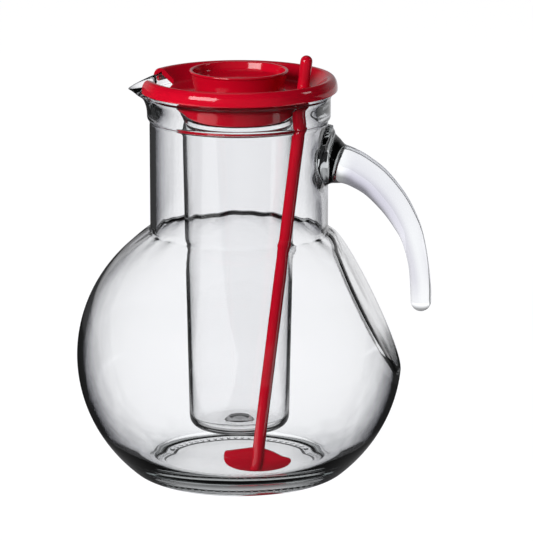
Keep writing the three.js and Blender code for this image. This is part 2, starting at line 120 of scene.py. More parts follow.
class GlassSizes(bpy.types.PropertyGroup):
    """Sizes of the glass jug."""

    ball_radius: length("Ball radius", "Outside radius of the ball", 82.3)
    ball_height_share: share("Ball height share", "Height of the ball as a share of its width", 0.941)
    ball_centre: length("Ball centre height", "Height of the ball's centre above the table", 60.48)
    wall: length("Wall", "Thickness of the blown wall", 3.0)
    foot_radius: length("Foot radius", "Outside radius of the flat foot", 48.0)
    base: length("Base thickness", "Thickness of the glass under the drink", 4.4)
    floor_radius: length("Floor radius", "Radius of the flat floor inside", 44.0)
    neck_radius: length("Neck radius", "Outside radius of the straight neck", 44.7)
    band_step: length("Band step", "How far the band under the lip stands proud", 1.2)
    band_foot: length("Band foot height", "Height where the band starts", 183.01)
    band_top: length("Band top height", "Height where the lip starts to swell", 193.81)
    lip_step: length("Lip step", "How far the lip stands proud of the band", 1.5)
    mouth_flare: length("Mouth flare", "How far the mouth opens towards its rim", 3.5)
    mouth_seat: length("Mouth seat", "Height of the conical seat in the mouth", 14.0)
    face_distance: length("Grip face distance", "From the ball's centre to the flat grip face", 70.9)
    beak_reach: length("Beak reach", "How far the beak is drawn out of the lip", 8.3)
    beak_drop: length("Beak drop", "How far the beak's tip hangs below the lip", 3.8)
    beak_height: length("Beak height", "Height over which the beak grows out of the neck", 17.0)
    handle_root: length("Handle root height", "Height of the handle's root on the neck", 160.8)
    handle_reach: length("Handle reach", "From the neck to the handle's outermost middle line", 47.1)
    handle_fall: length("Handle fall", "From the handle's root down to its tip", 72.0)
    handle_thickness: length("Handle half thickness", "Half thickness of the bar near its root", 9.4)
    handle_width: length("Handle half width", "Half width of the bar near its root", 9.8)
    tick_length: length("Foot tick length", "Length of the short ribs under the foot", 3.2)
    tick_count: bpy.props.IntProperty(
        name="Foot ticks", description="Number of short ribs round the foot", default=72, min=3
    )


class PlasticSizes(bpy.types.PropertyGroup):
    """Sizes of the lid, cap, tube and stirrer."""

    lid_wall: length("Lid wall", "Thickness of the lid's plastic", 1.5)
    seat_gap: length("Seat gap", "Clearance of the lid in the mouth", 0.3)
    skirt_gap: length("Skirt gap", "Clearance of the bead round the lip", 0.4)
    deck_radius: length("Deck radius", "Outside radius of the lid's flat deck", 38.0)
    notch_half_width: length("Notch half width", "Half the width of the lid's notch", 17.3)
    notch_back: length("Notch back", "From the axis to the notch's straight back", 35.5)
    cap_rim: length("Cap rim radius", "Outside radius of the cap's rim", 24.7)
    cap_recess: length("Cap recess", "Depth of the cap's recessed top", 4.2)
    tube_radius: length("Tube radius", "Outside radius of the ice tube at its top", 28.3)
    tube_wall: length("Tube wall", "Thickness of the ice tube", 1.7)
    tube_taper: length("Tube taper", "How much narrower the tube's foot is", 3.0)
    shaft_radius: length("Shaft radius", "Radius of the stirrer's shaft", 3.0)
    stirrer_gap: length("Stirrer gap", "From the floor of the jug to the stirrer's paddle", 0.5)
    paddle_half_width: length("Paddle half width", "Half the width of the stirrer's paddle", 16.9)
    paddle_height: length("Paddle height", "Height of the paddle at its middle", 16.2)
    paddle_thickness: length("Paddle thickness", "Thickness of the paddle", 2.6)


class Finishes(bpy.types.PropertyGroup):
    """Colours and gloss of the jug."""

    glass: colour("Glass", "Tint of the clear glass", (0.992, 0.993, 0.998))
    tube: colour("Tube plastic", "Tint of the clear plastic", (0.996, 0.996, 1.0))
    red: colour("Red plastic", "Colour of the lid, cap and stirrer", (0.64, 0.003, 0.02))
    red_gloss: share("Red roughness", "Roughness of the red plastic", 0.08)
    # Painted shade: how far the glass's colour is darkened where it is seen edge on, in place of the dark
    # surroundings that its edges refract
    glass_edge_painted_shade: share("Glass edge shade", "How dark the glass turns where it is seen edge on", 0.88)


def sizes():
    """The glass's sizes, as the scene holds them."""
    return bpy.context.scene.jug_glass


def plastic():
    """The plastic pieces' sizes, as the scene holds them."""
    return bpy.context.scene.jug_plastic


def finishes():
    """The colours and gloss, as the scene holds them."""
    return bpy.context.scene.jug_finishes


# Shaping helpers

MERGE_DISTANCE = 0.002 * MM
SLIVER = 0.001 * MM
LONGEST_CUT_SHARE = 0.42


def smooth_least(a, b, blend):
    """The lesser of two values, rounded over where they meet."""
    near = max(blend - abs(a - b), 0.0) / blend
    return min(a, b) - near * near * blend / 4


def smooth_most(a, b, blend):
    """The greater of two values, rounded over where they meet."""
    return -smooth_least(-a, -b, blend)


def ease(x):
    """A smooth step from 0 to 1."""
    x = min(max(x, 0.0), 1.0)
    return x * x * (3 - 2 * x)


def arc(centre_r, centre_z, radius, start, end, steps):
    """Points of an arc in a profile, from and to angles in radians above the outward direction."""
    angles = np.linspace(start, end, steps + 1)
    return [(centre_r + radius * math.cos(a), centre_z + radius * math.sin(a)) for a in angles]


def rounded(corners, steps=4, support=0.3):
    """Rounds the corners of a profile. Each corner is (radius, height) or (radius, height, rounding)."""
    points = []
    last = len(corners) - 1
    for i, corner in enumerate(corners):
        place = np.array(corner[:2])
        rounding = corner[2] if len(corner) > 2 else 0.0
        if rounding <= 0 or i in (0, last):
            points.append(tuple(place))
            continue
        before = np.array(corners[i - 1][:2]) - place
        after = np.array(corners[i + 1][:2]) - place
        room = LONGEST_CUT_SHARE * min(np.linalg.norm(before), np.linalg.norm(after))
        cut = min(rounding, room)
        before = before / np.linalg.norm(before)
        after = after / np.linalg.norm(after)
        points.append(tuple(place + before * cut * (1 + support)))
        for t in np.linspace(0, 1, steps + 1):
            point = place + before * cut * (1 - t) ** 2 + after * cut * t ** 2
            points.append(tuple(point))
        points.append(tuple(place + after * cut * (1 + support)))
    return points


def divided(points, low, step):
    """Adds points to the long spans of a profile above a height."""
    made = [points[0]]
    for (r0, z0), (r1, z1) in zip(points, points[1:]):
        span = math.hypot(r1 - r0, z1 - z0)
        count = max(int(span / step), 1) if min(z0, z1) > low else 1
        made += [(r0 + (r1 - r0) * i / count, z0 + (z1 - z0) * i / count) for i in range(1, count + 1)]
    return made


def even_azimuths(steps):
    """Evenly spaced angles round the axis."""
    return [TURN * i / steps for i in range(steps)]


def placed(r, z, azimuth):
    """A point from its radius, height and azimuth."""
    return Vector((r * math.cos(azimuth), r * math.sin(azimuth), z))


def make_mesh(name, points, faces):
    """A new object from points and faces, with its doubles merged and its faces turned out."""
    mesh = bpy.data.meshes.new(name)
    mesh.from_pydata([tuple(p) for p in points], [], faces)
    work = bmesh.new()
    work.from_mesh(mesh)
    bmesh.ops.remove_doubles(work, verts=work.verts, dist=MERGE_DISTANCE)
    bmesh.ops.dissolve_degenerate(work, edges=work.edges, dist=SLIVER)
    bmesh.ops.recalc_face_normals(work, faces=work.faces)
    work.to_mesh(mesh)
    work.free()
    obj = bpy.data.objects.new(name, mesh)
    bpy.context.scene.collection.objects.link(obj)
    shade_smooth(obj)
    return obj


def shade_smooth(obj, sharp_degrees=50.0):
    """Smooth shading, with the edges sharper than an angle kept crisp."""
    mesh = obj.data
    mesh.polygons.foreach_set("use_smooth", [True] * len(mesh.polygons))
    mesh.set_sharp_from_angle(angle=math.radians(sharp_degrees))
    mesh.update()


def revolve(name, profile, azimuths, move=None):
    """A surface of revolution. The profile runs from axis to axis, or is a ring whose end is its start.

    The move function, where there is one, gives each point its place from the plain one and its row.
    """
    gap = max(abs(profile[0][0] - profile[-1][0]), abs(profile[0][1] - profile[-1][1]))
    closed = gap < SLIVER
    rows = profile[:-1] if closed else profile
    count = len(azimuths)
    points = []
    for row, (r, z) in enumerate(rows):
        for azimuth in azimuths:
            point = placed(max(r, 0.0), z, azimuth)
            points.append(move(point, row) if move else point)
    faces = []
    bands = len(rows) if closed else len(rows) - 1
    for row in range(bands):
        upper = (row + 1) % len(rows)
        for i in range(count):
            j = (i + 1) % count
            faces.append((row * count + i, row * count + j, upper * count + j, upper * count + i))
    return make_mesh(name, points, faces)


def loft(name, rings):
    """A closed skin over rings of equal count. A first or last ring of one point closes that end."""
    points = []
    starts = []
    for ring in rings:
        starts.append(len(points))
        points.extend(ring)
    faces = []
    for below, above, low, high in zip(rings, rings[1:], starts, starts[1:]):
        count = max(len(below), len(above))
        for i in range(count):
            j = (i + 1) % count
            if len(below) == 1:
                faces.append((low, high + j, high + i))
            elif len(above) == 1:
                faces.append((low + i, low + j, high))
            else:
                faces.append((low + i, low + j, high + j, high + i))
    return make_mesh(name, points, faces)


def box_tool(name, low, high):
    """A box between two corners."""
    corners = [(x, y, z) for x in (low[0], high[0]) for y in (low[1], high[1]) for z in (low[2], high[2])]
    faces = [(0, 1, 3, 2), (4, 6, 7, 5), (0, 4, 5, 1), (2, 3, 7, 6), (0, 2, 6, 4), (1, 5, 7, 3)]
    return make_mesh(name, corners, faces)


def boxes_round(name, low, high, first_turn, count):
    """Copies of a box, spread evenly round the axis."""
    boxes = []
    for i in range(count):
        turn = Matrix.Rotation(TURN * i / count + first_turn, 4, "Z")
        boxes.append(transformed(box_tool(name, low, high), turn))
    return boxes


def rod_tool(name, radius, low, high):
    """A round rod along Z."""
    profile = [(0.0, low), (radius, low), (radius, high), (0.0, high)]
    return revolve(name, profile, even_azimuths(ROD_SIDES))


def combined(obj, tools, operation):
    """Cuts tools from an object, or joins them to it, and removes the tools."""
    for tool in tools:
        modifier = obj.modifiers.new("combine", "BOOLEAN")
        modifier.operation = operation
        modifier.solver = "MANIFOLD"
        modifier.object = tool
    finished(obj)
    for tool in tools:
        bpy.data.objects.remove(tool, do_unlink=True)
    return obj


def finished(obj):
    """Turns an object with its modifiers into a plain mesh."""
    bpy.context.view_layer.update()
    graph = bpy.context.evaluated_depsgraph_get()
    mesh = bpy.data.meshes.new_from_object(obj.evaluated_get(graph), depsgraph=graph)
    obj.modifiers.clear()
    obj.data = mesh
    return obj


def transformed(obj, matrix):
    """Moves an object's mesh and leaves the object at the origin."""
    obj.data.transform(matrix)
    obj.data.update()
    return obj


def lit_pieces():
    """What the lamps light. Glass stays out of it, so it only refracts and mirrors its surroundings."""
    return bpy.data.collections["lit pieces"]


def dress(obj, material, body, slot, *nodes):
    """Gives a piece its material and its body, adds it to the lit pieces unless its slot is a glass one, and
    hides the nodes that it stands for.
    """
    obj.data.materials.clear()
    obj.data.materials.append(material)
    if "glass" not in slot:
        lit_pieces().objects.link(obj)
    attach(obj, body)
    if nodes:
        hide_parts(*nodes)
    return obj


# Materials

# The span that holds nearly all of a noise's values, the scales of the patterns per metre, and the height
# of the red plastic's ripple
NOISE_SPAN = (0.3, 0.7)
STREAK_SCALE = 95.0
FLOW_SCALE = 26.0
GRAIN_SCALE = 420.0
RIPPLE_SCALE = 60.0
RIPPLE_HEIGHT = 0.05 * MM


def add_node(tree, kind, inputs=(), **settings):
    """A new node, with its settings, and with a value or another node's output on each input."""
    node = tree.nodes.new(kind)
    for name, value in settings.items():
        setattr(node, name, value)
    for name, value in dict(inputs).items():
        if isinstance(value, bpy.types.NodeSocket):
            tree.links.new(value, node.inputs[name])
        else:
            node.inputs[name].default_value = value
    return node


def new_material(name):
    """A material with its node tree and its Principled shader."""
    material = bpy.data.materials.new(name)
    material.use_nodes = True
    tree = material.node_tree
    return material, tree, tree.nodes["Principled BSDF"]


def coordinates(tree, kind="Object"):
    """The place that is being shaded, as a vector and as its X, Y and Z."""
    place = add_node(tree, "ShaderNodeTexCoord").outputs[kind]
    split = add_node(tree, "ShaderNodeSeparateXYZ", {"Vector": place}).outputs
    return place, split["X"], split["Y"], split["Z"]


def noise_node(tree, scale, detail=2.0, stretch=(1.0, 1.0, 1.0)):
    """Noise on Object coordinates, stretched along the axes."""
    place = add_node(tree, "ShaderNodeTexCoord").outputs["Object"]
    mapped = add_node(tree, "ShaderNodeMapping", {"Vector": place, "Scale": stretch}).outputs["Vector"]
    noise = {"Vector": mapped, "Scale": scale, "Detail": detail}
    return add_node(tree, "ShaderNodeTexNoise", noise).outputs["Fac"]


def bumped(tree, shader, height, distance, strength=1.0):
    """Raises a pattern of heights on a shader's surface."""
    bump = add_node(tree, "ShaderNodeBump", {"Strength": strength, "Distance": distance, "Height": height})
    tree.links.new(bump.outputs["Normal"], shader.inputs["Normal"])


def ramped(tree, value, span, start=0.0, end=1.0):
    """A smooth run from one level to another while a value crosses a span."""
    inputs = {"Value": value, "From Min": span[0], "From Max": span[1], "To Min": start, "To Max": end}
    return add_node(tree, "ShaderNodeMapRange", inputs, interpolation_type="SMOOTHSTEP").outputs["Result"]


def blended(tree, factor, first, second):
    """A colour between two others; each is a socket or three numbers."""
    inputs = {"Factor": factor}
    for name, value in (("A", first), ("B", second)):
        inputs[name] = value if isinstance(value, bpy.types.NodeSocket) else (*value, 1.0)
    return add_node(tree, "ShaderNodeMix", inputs, data_type="RGBA").outputs["Result"]


def numbered(tree, operation, first, second=0.0):
    """A Math node; each value is a socket or a number."""
    return add_node(tree, "ShaderNodeMath", {0: first, 1: second}, operation=operation).outputs["Value"]


def product(tree, first, second):
    """Two values multiplied; each is a socket or a number."""
    return numbered(tree, "MULTIPLY", first, second)


def greater(tree, first, second):
    """The greater of two values; each is a socket or a number."""
    return numbered(tree, "MAXIMUM", first, second)


def levelled(tree, factor, first, second):
    """A value between two others; each is a socket or a number."""
    return add_node(tree, "ShaderNodeMix", {"Factor": factor, "A": first, "B": second}).outputs["Result"]


# Where the glass's painted edge shade changes, in metres up from the table or out from the axis
FOOT_TO_SHOULDER = (0.04, 0.09)
SHOULDER_TO_NECK = (0.122, 0.14)
BALL_TO_NECK = (0.124, 0.128)
SIDE_TO_GRIP = (0.047, 0.05)
BASE_TO_BALL = (0.02, 0.035)
MIDDLE_TO_SIDES = (0.02, 0.045)
FACE_SKIN = (-2.2 * MM, -1.2 * MM)
# How much of the painted edge shade stays in the middle of the base, and how much the grip face and the
# handle are cleared of it
BASE_SHADE = 0.1
FACE_CLEARING = 0.5
GRIP_CLEARING = 0.6
# How far uneven bands move where the painted edge shade starts, its latest start, where it is full, and the
# lavender hue of its dark colour
STREAK_SHARE = 0.16
LATEST_START = 0.9
EDGE_END = 0.98
EDGE_HUE = (1.0, 1.0, 1.25)


def painted_shade_streaks(tree):
    """Uneven upright bands in the glass's painted edge shade, from 0 to 1."""
    return ramped(tree, noise_node(tree, STREAK_SCALE, 2.0, (1.0, 1.0, 0.03)), NOISE_SPAN)


def grip_face_share(tree, x, z):
    """How far the inner side of the flat grip face is kept clear of the painted edge shade, from 0 elsewhere.
    """
    size = sizes()
    level = size.face_distance + size.ball_centre * FACE_NORMAL.z - size.wall
    out = numbered(tree, "ADD", product(tree, x, FACE_NORMAL.x), product(tree, z, FACE_NORMAL.z))
    past_face = ramped(tree, out, [level + skin for skin in FACE_SKIN], 0.0, FACE_CLEARING)
    on_ball = ramped(tree, z, BALL_TO_NECK, 1.0, 0.0)
    on_grip = ramped(tree, x, SIDE_TO_GRIP, 0.0, GRIP_CLEARING)
    return product(tree, past_face, greater(tree, on_ball, on_grip))


def edge_start(tree, foot, shoulder, neck):
    """How edge-on a surface must be seen before the painted edge shade darkens it, at the foot, the shoulder
    and the neck.
    """
    _, x, _, z = coordinates(tree)
    on_body = ramped(tree, z, FOOT_TO_SHOULDER, foot, shoulder)
    by_height = levelled(tree, ramped(tree, z, SHOULDER_TO_NECK), on_body, neck)
    uneven = numbered(tree, "ADD", by_height, product(tree, painted_shade_streaks(tree), STREAK_SHARE))
    start = numbered(tree, "ADD", uneven, grip_face_share(tree, x, z))
    return numbered(tree, "MINIMUM", start, LATEST_START)


# The painted shade on the handle's inner side, in place of the darker surroundings that the solid bar
# refracts: its colour, how it fades in from the neck and the free end, and where it lies as shares of the
# handle's reach and fall, out from the bend's middle
HANDLE_SHADE = (0.60, 0.58, 0.66)
NECK_FADE = (4 * MM, 12 * MM)
END_FADE = (-8 * MM, 16 * MM)
HANDLE_INNER_SHARES = (0.94, 1.03)
HANDLE_BAR_SHARES = (0.84, 0.85)


def handle_shade(tree):
    """Where the painted shade lies: 1 along the inner side of the handle, from 0 along its back."""
    size = sizes()
    _, x, _, z = coordinates(tree)
    low = size.handle_root - size.handle_fall
    across = numbered(tree, "DIVIDE", numbered(tree, "SUBTRACT", x, size.neck_radius), size.handle_reach)
    upward = numbered(tree, "DIVIDE", numbered(tree, "SUBTRACT", z, low), size.handle_fall)
    squares = [numbered(tree, "POWER", value, 2.0) for value in (across, upward)]
    from_middle = numbered(tree, "SQRT", numbered(tree, "ADD", *squares))
    inner = ramped(tree, from_middle, HANDLE_INNER_SHARES, 1.0, 0.0)
    on_bar = ramped(tree, from_middle, HANDLE_BAR_SHARES)
    outside_neck = ramped(tree, x, [size.neck_radius + fade for fade in NECK_FADE])
    above_end = ramped(tree, z, [low + fade for fade in END_FADE])
    on_handle = product(tree, outside_neck, product(tree, on_bar, above_end))
    return product(tree, inner, on_handle)


# What sets the two clear materials apart. The starts of their painted edge shade are at the foot, the
# shoulder and the neck
CLEAR_GLASS = {
    "refraction": 1.5,
    "wave": 0.35 * MM,
    "wave_scale": 22.0,
    "absorption": 14.0,
    "thickness_tint": (0.88, 0.96, 0.95),
    "edge_starts": (0.25, 0.42, 0.1),
}
CLEAR_PLASTIC = {
    "refraction": 1.44,
    "wave": 0.25 * MM,
    "wave_scale": 34.0,
    "absorption": 4.0,
    "thickness_tint": (0.94, 0.96, 0.98),
    "edge_starts": (0.7, 0.7, 0.7),
}
# How dark the clear plastic's painted edge shade turns
CLEAR_PLASTIC_EDGE = 0.25


def glass_material(name, tint, edge, refraction, wave, wave_scale, absorption, thickness_tint, edge_starts):
    """Clear glass with a painted shade that darkens it where it is seen edge on and along the handle's inner
    side, and with slow waves in its surface.
    """
    material, tree, shader = new_material(name)
    shader.inputs["Transmission Weight"].default_value = 1.0
    shader.inputs["Roughness"].default_value = 0.0
    shader.inputs["IOR"].default_value = refraction
    facing = add_node(tree, "ShaderNodeLayerWeight", {"Blend": 0.5}).outputs["Facing"]
    # Painted edge shade: how far the colour turns dark where the surface is seen edge on
    edge_share = ramped(tree, facing, (edge_start(tree, *edge_starts), EDGE_END))
    # The painted edge shade's dark colour, with a lavender hue
    dark = [c * (1.0 - edge) * hue for c, hue in zip(tint, EDGE_HUE)]
    _, x, _, z = coordinates(tree)
    # The painted edge shade is weaker in the middle of the base and full at its sides and above it
    beside = ramped(tree, numbered(tree, "ABSOLUTE", x), MIDDLE_TO_SIDES, BASE_SHADE, 1.0)
    above_base = levelled(tree, ramped(tree, z, BASE_TO_BALL), beside, 1.0)
    # The glass's tint, with a painted shade along the handle's inner side
    clear = blended(tree, handle_shade(tree), tint, HANDLE_SHADE)
    mixed = blended(tree, product(tree, edge_share, above_base), clear, dark)
    tree.links.new(mixed, shader.inputs["Base Color"])
    bumped(tree, shader, noise_node(tree, wave_scale, 1.5, (1.0, 1.0, 0.6)), wave)
    thickness = {"Color": (*thickness_tint, 1.0), "Density": absorption}
    volume = add_node(tree, "ShaderNodeVolumeAbsorption", thickness)
    tree.links.new(volume.outputs["Volume"], tree.nodes["Material Output"].inputs["Volume"])
    return material


def red_plastic_material():
    """Glossy moulded plastic with a faint flow pattern and slightly uneven gloss."""
    look = finishes()
    material, tree, shader = new_material("red moulded plastic")
    deep = [c * 0.86 for c in look.red]
    flow = noise_node(tree, FLOW_SCALE, 3.0, (1.0, 1.0, 2.2))
    red = blended(tree, ramped(tree, flow, NOISE_SPAN), look.red, deep)
    tree.links.new(red, shader.inputs["Base Color"])
    fine = noise_node(tree, GRAIN_SCALE)
    gloss = ramped(tree, fine, NOISE_SPAN, look.red_gloss * 0.85, look.red_gloss * 1.2)
    tree.links.new(gloss, shader.inputs["Roughness"])
    shader.inputs["IOR"].default_value = 1.5
    shader.inputs["Specular IOR Level"].default_value = 0.32
    bumped(tree, shader, noise_node(tree, RIPPLE_SCALE), RIPPLE_HEIGHT, 0.6)
    return material


# The glass

# The grip face under the handle, and the fillets round it and at the neck's foot
FACE_TILT = math.radians(26.7)
FACE_NORMAL = Vector((math.cos(FACE_TILT), 0.0, math.sin(FACE_TILT)))
FACE_RIM = 1.1 * MM
THROAT_FILLET = 1.7 * MM
FACING_SHARE = 0.3

# The ball's profile: how it is divided, how far up the neck it runs, and the step round the floor
HEEL_STEPS = 14
BALL_TOP_ANGLE = math.radians(61.0)
FINE_ANGLE = math.radians(49.0)
OUTER_STEPS = (math.radians(1.0), math.radians(0.55))
INNER_STEPS = (math.radians(1.25), math.radians(0.7))
NECK_STEPS = 34
FLOOR_RIM_ANGLE = math.radians(12.0)
FLOOR_STEP = 2.8 * MM
FLOOR_STEP_EDGE = 0.2 * MM
FRONT_STEP = 1.5 * MM
STEP_FADE = 22 * MM
FRONT_LEAD_SHARE = 0.3
FRONT_SPREAD_SHARE = 1.2

# The foot stands on a narrow ring round a slightly hollow underside
RING_LEVEL = 0.25 * MM
RING_WIDTH = 9 * MM
RING_SLOPE = 1 * MM
HOLLOW_LEVEL = 0.7 * MM

# How far below the lip's top the mouth's conical seat ends, the slopes under and over the band, how far
# the evenly divided neck keeps from band and seat, and how finely the beak's height is divided
MOUTH_EDGE = 1.2 * MM
BAND_SLOPE = 1.6 * MM
LIP_SLOPE = 0.6 * MM
NECK_MARGIN = 4 * MM
BORE_MARGIN = 6 * MM
FINE_HEIGHT = 20 * MM
FINE_STEP = 1.2 * MM


def heel_corner(radius, drop, flat, angle):
    """Radius of the arc that leaves a point at an angle to the level and runs into a ball."""
    room = radius ** 2 - flat ** 2 - drop ** 2
    return room / (2 * (radius - flat * math.sin(angle) - drop * math.cos(angle)))


def squashed(z):
    """Sets a height above the ball's centre to the ball's height share, and counts it from the table."""
    size = sizes()
    return size.ball_centre + z * size.ball_height_share


def ball_rows(radius, flat, level, angle, coarse, fine):
    """Profile points of the flattened ball on a flat foot, up into the neck."""
    size = sizes()
    drop = (size.ball_centre - level) / size.ball_height_share
    corner = heel_corner(radius, drop, flat, angle)
    corner_r = flat - corner * math.sin(angle)
    corner_z = corner * math.cos(angle) - drop
    corner_end = math.atan2(corner_z, corner_r)
    rows = arc(corner_r, corner_z, corner, angle - math.pi / 2, corner_end, HEEL_STEPS)
    low_steps = max(int((FINE_ANGLE - corner_end) / coarse), 2)
    high_steps = max(int((BALL_TOP_ANGLE - FINE_ANGLE) / fine), 2)
    angles = list(np.linspace(corner_end, FINE_ANGLE, low_steps + 1))[1:]
    angles += list(np.linspace(FINE_ANGLE, BALL_TOP_ANGLE, high_steps + 1))[1:]
    rows += [(radius * math.cos(a), radius * math.sin(a)) for a in angles]
    return [(r, squashed(z)) for r, z in rows]


def pressed(point, radius, face, throat):
    """Moves a point of the ball onto the grip face, or onto the neck above it."""
    size = sizes()
    tall = size.ball_height_share
    way = Vector((point.x, point.y, (point.z - size.ball_centre) / tall)).normalized()
    reach = radius
    toward = way.dot(Vector((FACE_NORMAL.x, 0.0, FACE_NORMAL.z * tall)))
    if toward > FACING_SHARE:
        reach = smooth_least(reach, face / toward, FACE_RIM)
    if way.z > 0:
        reach = smooth_most(reach, throat / math.hypot(way.x, way.y), THROAT_FILLET)
    place = way * reach
    return Vector((place.x, place.y, squashed(place.z)))


# The wavy line at the neck's foot, the lumps behind the handle's root, and the beak
JUNCTION_WAVE = 0.45 * MM
JUNCTION_SPREAD = 14 * MM
LUMP_DEPTH = 2.2 * MM
LUMP_SKIN = 0.3 * MM
LUMP_HEIGHT = 20 * MM
LUMP_ANGLE = math.radians(42.0)
BEAK_ANGLE = math.radians(21.0)
BEAK_ROUNDING = 0.3
BEAK_SIDE_POWER = 1.4
BEAK_RISE_POWER = 2.2
BEAK_TIP_SHARE = (1 - BEAK_ROUNDING / math.sqrt(1 + BEAK_ROUNDING ** 2)) ** BEAK_SIDE_POWER


def beak_pull(point):
    """How far a point is drawn into the beak, from 0 to 1."""
    size = sizes()
    away = math.pi - abs(math.atan2(point.y, point.x))
    rise = (point.z - (LIP_TOP - size.beak_height)) / size.beak_height
    radius = math.hypot(point.x, point.y)
    if away >= BEAK_ANGLE or rise <= 0 or radius < size.neck_radius / 2:
        return 0.0
    ridge = math.hypot(away / BEAK_ANGLE, BEAK_ROUNDING) / math.hypot(1, BEAK_ROUNDING)
    return (1 - ridge) ** BEAK_SIDE_POWER * min(rise, 1.0) ** BEAK_RISE_POWER / BEAK_TIP_SHARE


def with_beak(point):
    """Draws a point of the lip out and down into the beak."""
    size = sizes()
    pull = beak_pull(point)
    if pull <= 0:
        return point
    radius = math.hypot(point.x, point.y)
    stretch = (radius + size.beak_reach * pull) / radius
    return Vector((point.x * stretch, point.y * stretch, point.z - size.beak_drop * pull))


def waved(point):
    """Lets the line where the ball meets the neck wander a little up and down."""
    size = sizes()
    radius = math.hypot(point.x, point.y)
    foot = squashed(math.sqrt(max(size.ball_radius ** 2 - size.neck_radius ** 2, 0.0)))
    near = 1 - abs(point.z - foot) / JUNCTION_SPREAD
    if near <= 0 or radius < size.neck_radius / 2:
        return point
    around = math.atan2(point.y, point.x)
    wander = math.sin(5 * around + 0.6) + 0.6 * math.sin(11 * around + 2.0) + 0.45 * math.sin(23 * around)
    return Vector((point.x, point.y, point.z + JUNCTION_WAVE * wander * ease(near)))


def lumped(point):
    """Pushes the neck's inner wall in, unevenly, behind the place where the hot handle was pressed on."""
    size = sizes()
    bore = size.neck_radius - size.wall
    radius = math.hypot(point.x, point.y)
    around = math.atan2(point.y, point.x)
    rise = (point.z - size.handle_root) / LUMP_HEIGHT
    spread = 1 - math.hypot(around / LUMP_ANGLE, rise)
    if abs(radius - bore) > LUMP_SKIN or spread <= 0:
        return point
    uneven = 0.6 + 0.4 * math.sin(9 * around + 2.2 * rise) * math.sin(6.5 * rise + 5 * around)
    stretch = (radius - LUMP_DEPTH * uneven * ease(spread)) / radius
    return Vector((point.x * stretch, point.y * stretch, point.z))


def settled(point):
    """Lets the step round the floor run out towards the front, where the glass is thinner."""
    height = point.z - sizes().base
    towards_front = -point.y / max(math.hypot(point.x, point.y), 1 * MM)
    front = ease((towards_front + FRONT_LEAD_SHARE) / FRONT_SPREAD_SHARE)
    on_step = max(min(height / FLOOR_STEP, 1 - (height - FLOOR_STEP) / STEP_FADE), 0.0)
    return Vector((point.x, point.y, point.z - (FLOOR_STEP - FRONT_STEP) * front * on_step))


# Stretches round the jug, from and to in degrees, and their steps: fine over the grip face and the beak
JUG_STRETCHES = [(-40, 40, 76), (40, 158, 56), (158, 202, 54), (202, 320, 56)]


def jug_azimuths():
    """The angles at which the jug's skin is divided."""
    azimuths = []
    for start, end, steps in JUG_STRETCHES:
        azimuths += [math.radians(start + (end - start) * i / steps) for i in range(steps)]
    return azimuths


def seat_foot():
    """Height where the mouth's conical seat starts."""
    return LIP_TOP - MOUTH_EDGE - sizes().mouth_seat


def mouth_seat_radius(height):
    """Radius of the mouth's conical seat at a height."""
    size = sizes()
    return size.neck_radius - size.wall + (height - seat_foot()) * size.mouth_flare / size.mouth_seat


def underside_rows():
    """The hollow underside and the ring that the jug stands on, from the axis outwards."""
    size = sizes()
    ring_inner = size.foot_radius - RING_WIDTH
    return rounded([
        (0.0, HOLLOW_LEVEL),
        (ring_inner - RING_SLOPE, HOLLOW_LEVEL, 0.5 * MM),
        (ring_inner, RING_LEVEL, 0.5 * MM),
        (size.foot_radius, RING_LEVEL),
    ], 2)


def mouth_rows(start, end):
    """The band, the lip and the seat inside it, from a point outside the neck to one inside."""
    size = sizes()
    bore = size.neck_radius - size.wall
    band = size.neck_radius + size.band_step
    lip = band + size.lip_step
    rows = rounded([
        start,
        (size.neck_radius, size.band_foot - BAND_SLOPE, 1.2 * MM),
        (band, size.band_foot, 0.9 * MM),
        (band, size.band_top - LIP_SLOPE, 1.2 * MM),
        (lip, size.band_top + BAND_SLOPE, 1.2 * MM),
        (lip, LIP_TOP, 2.4 * MM),
        (bore + size.mouth_flare, LIP_TOP, 1.0 * MM),
        (bore, seat_foot(), 3 * MM),
        end,
    ], 5)
    return divided(rows[1:-1], LIP_TOP - FINE_HEIGHT, FINE_STEP)


def floor_rows(rim):
    """The step round the inner floor and the flat floor, from the rim inwards."""
    size = sizes()
    return rounded([
        rim,
        (size.floor_radius - FLOOR_STEP_EDGE, size.base + FLOOR_STEP, 0.4 * MM),
        (size.floor_radius - FLOOR_STEP / 2, size.base, 0.9 * MM),
        (0.0, size.base),
    ], 3)[1:]


def neck_heights(radius, top):
    """Evenly spaced heights from the top of a ball up a straight neck."""
    return np.linspace(squashed(radius * math.tan(BALL_TOP_ANGLE)), top, NECK_STEPS + 1)


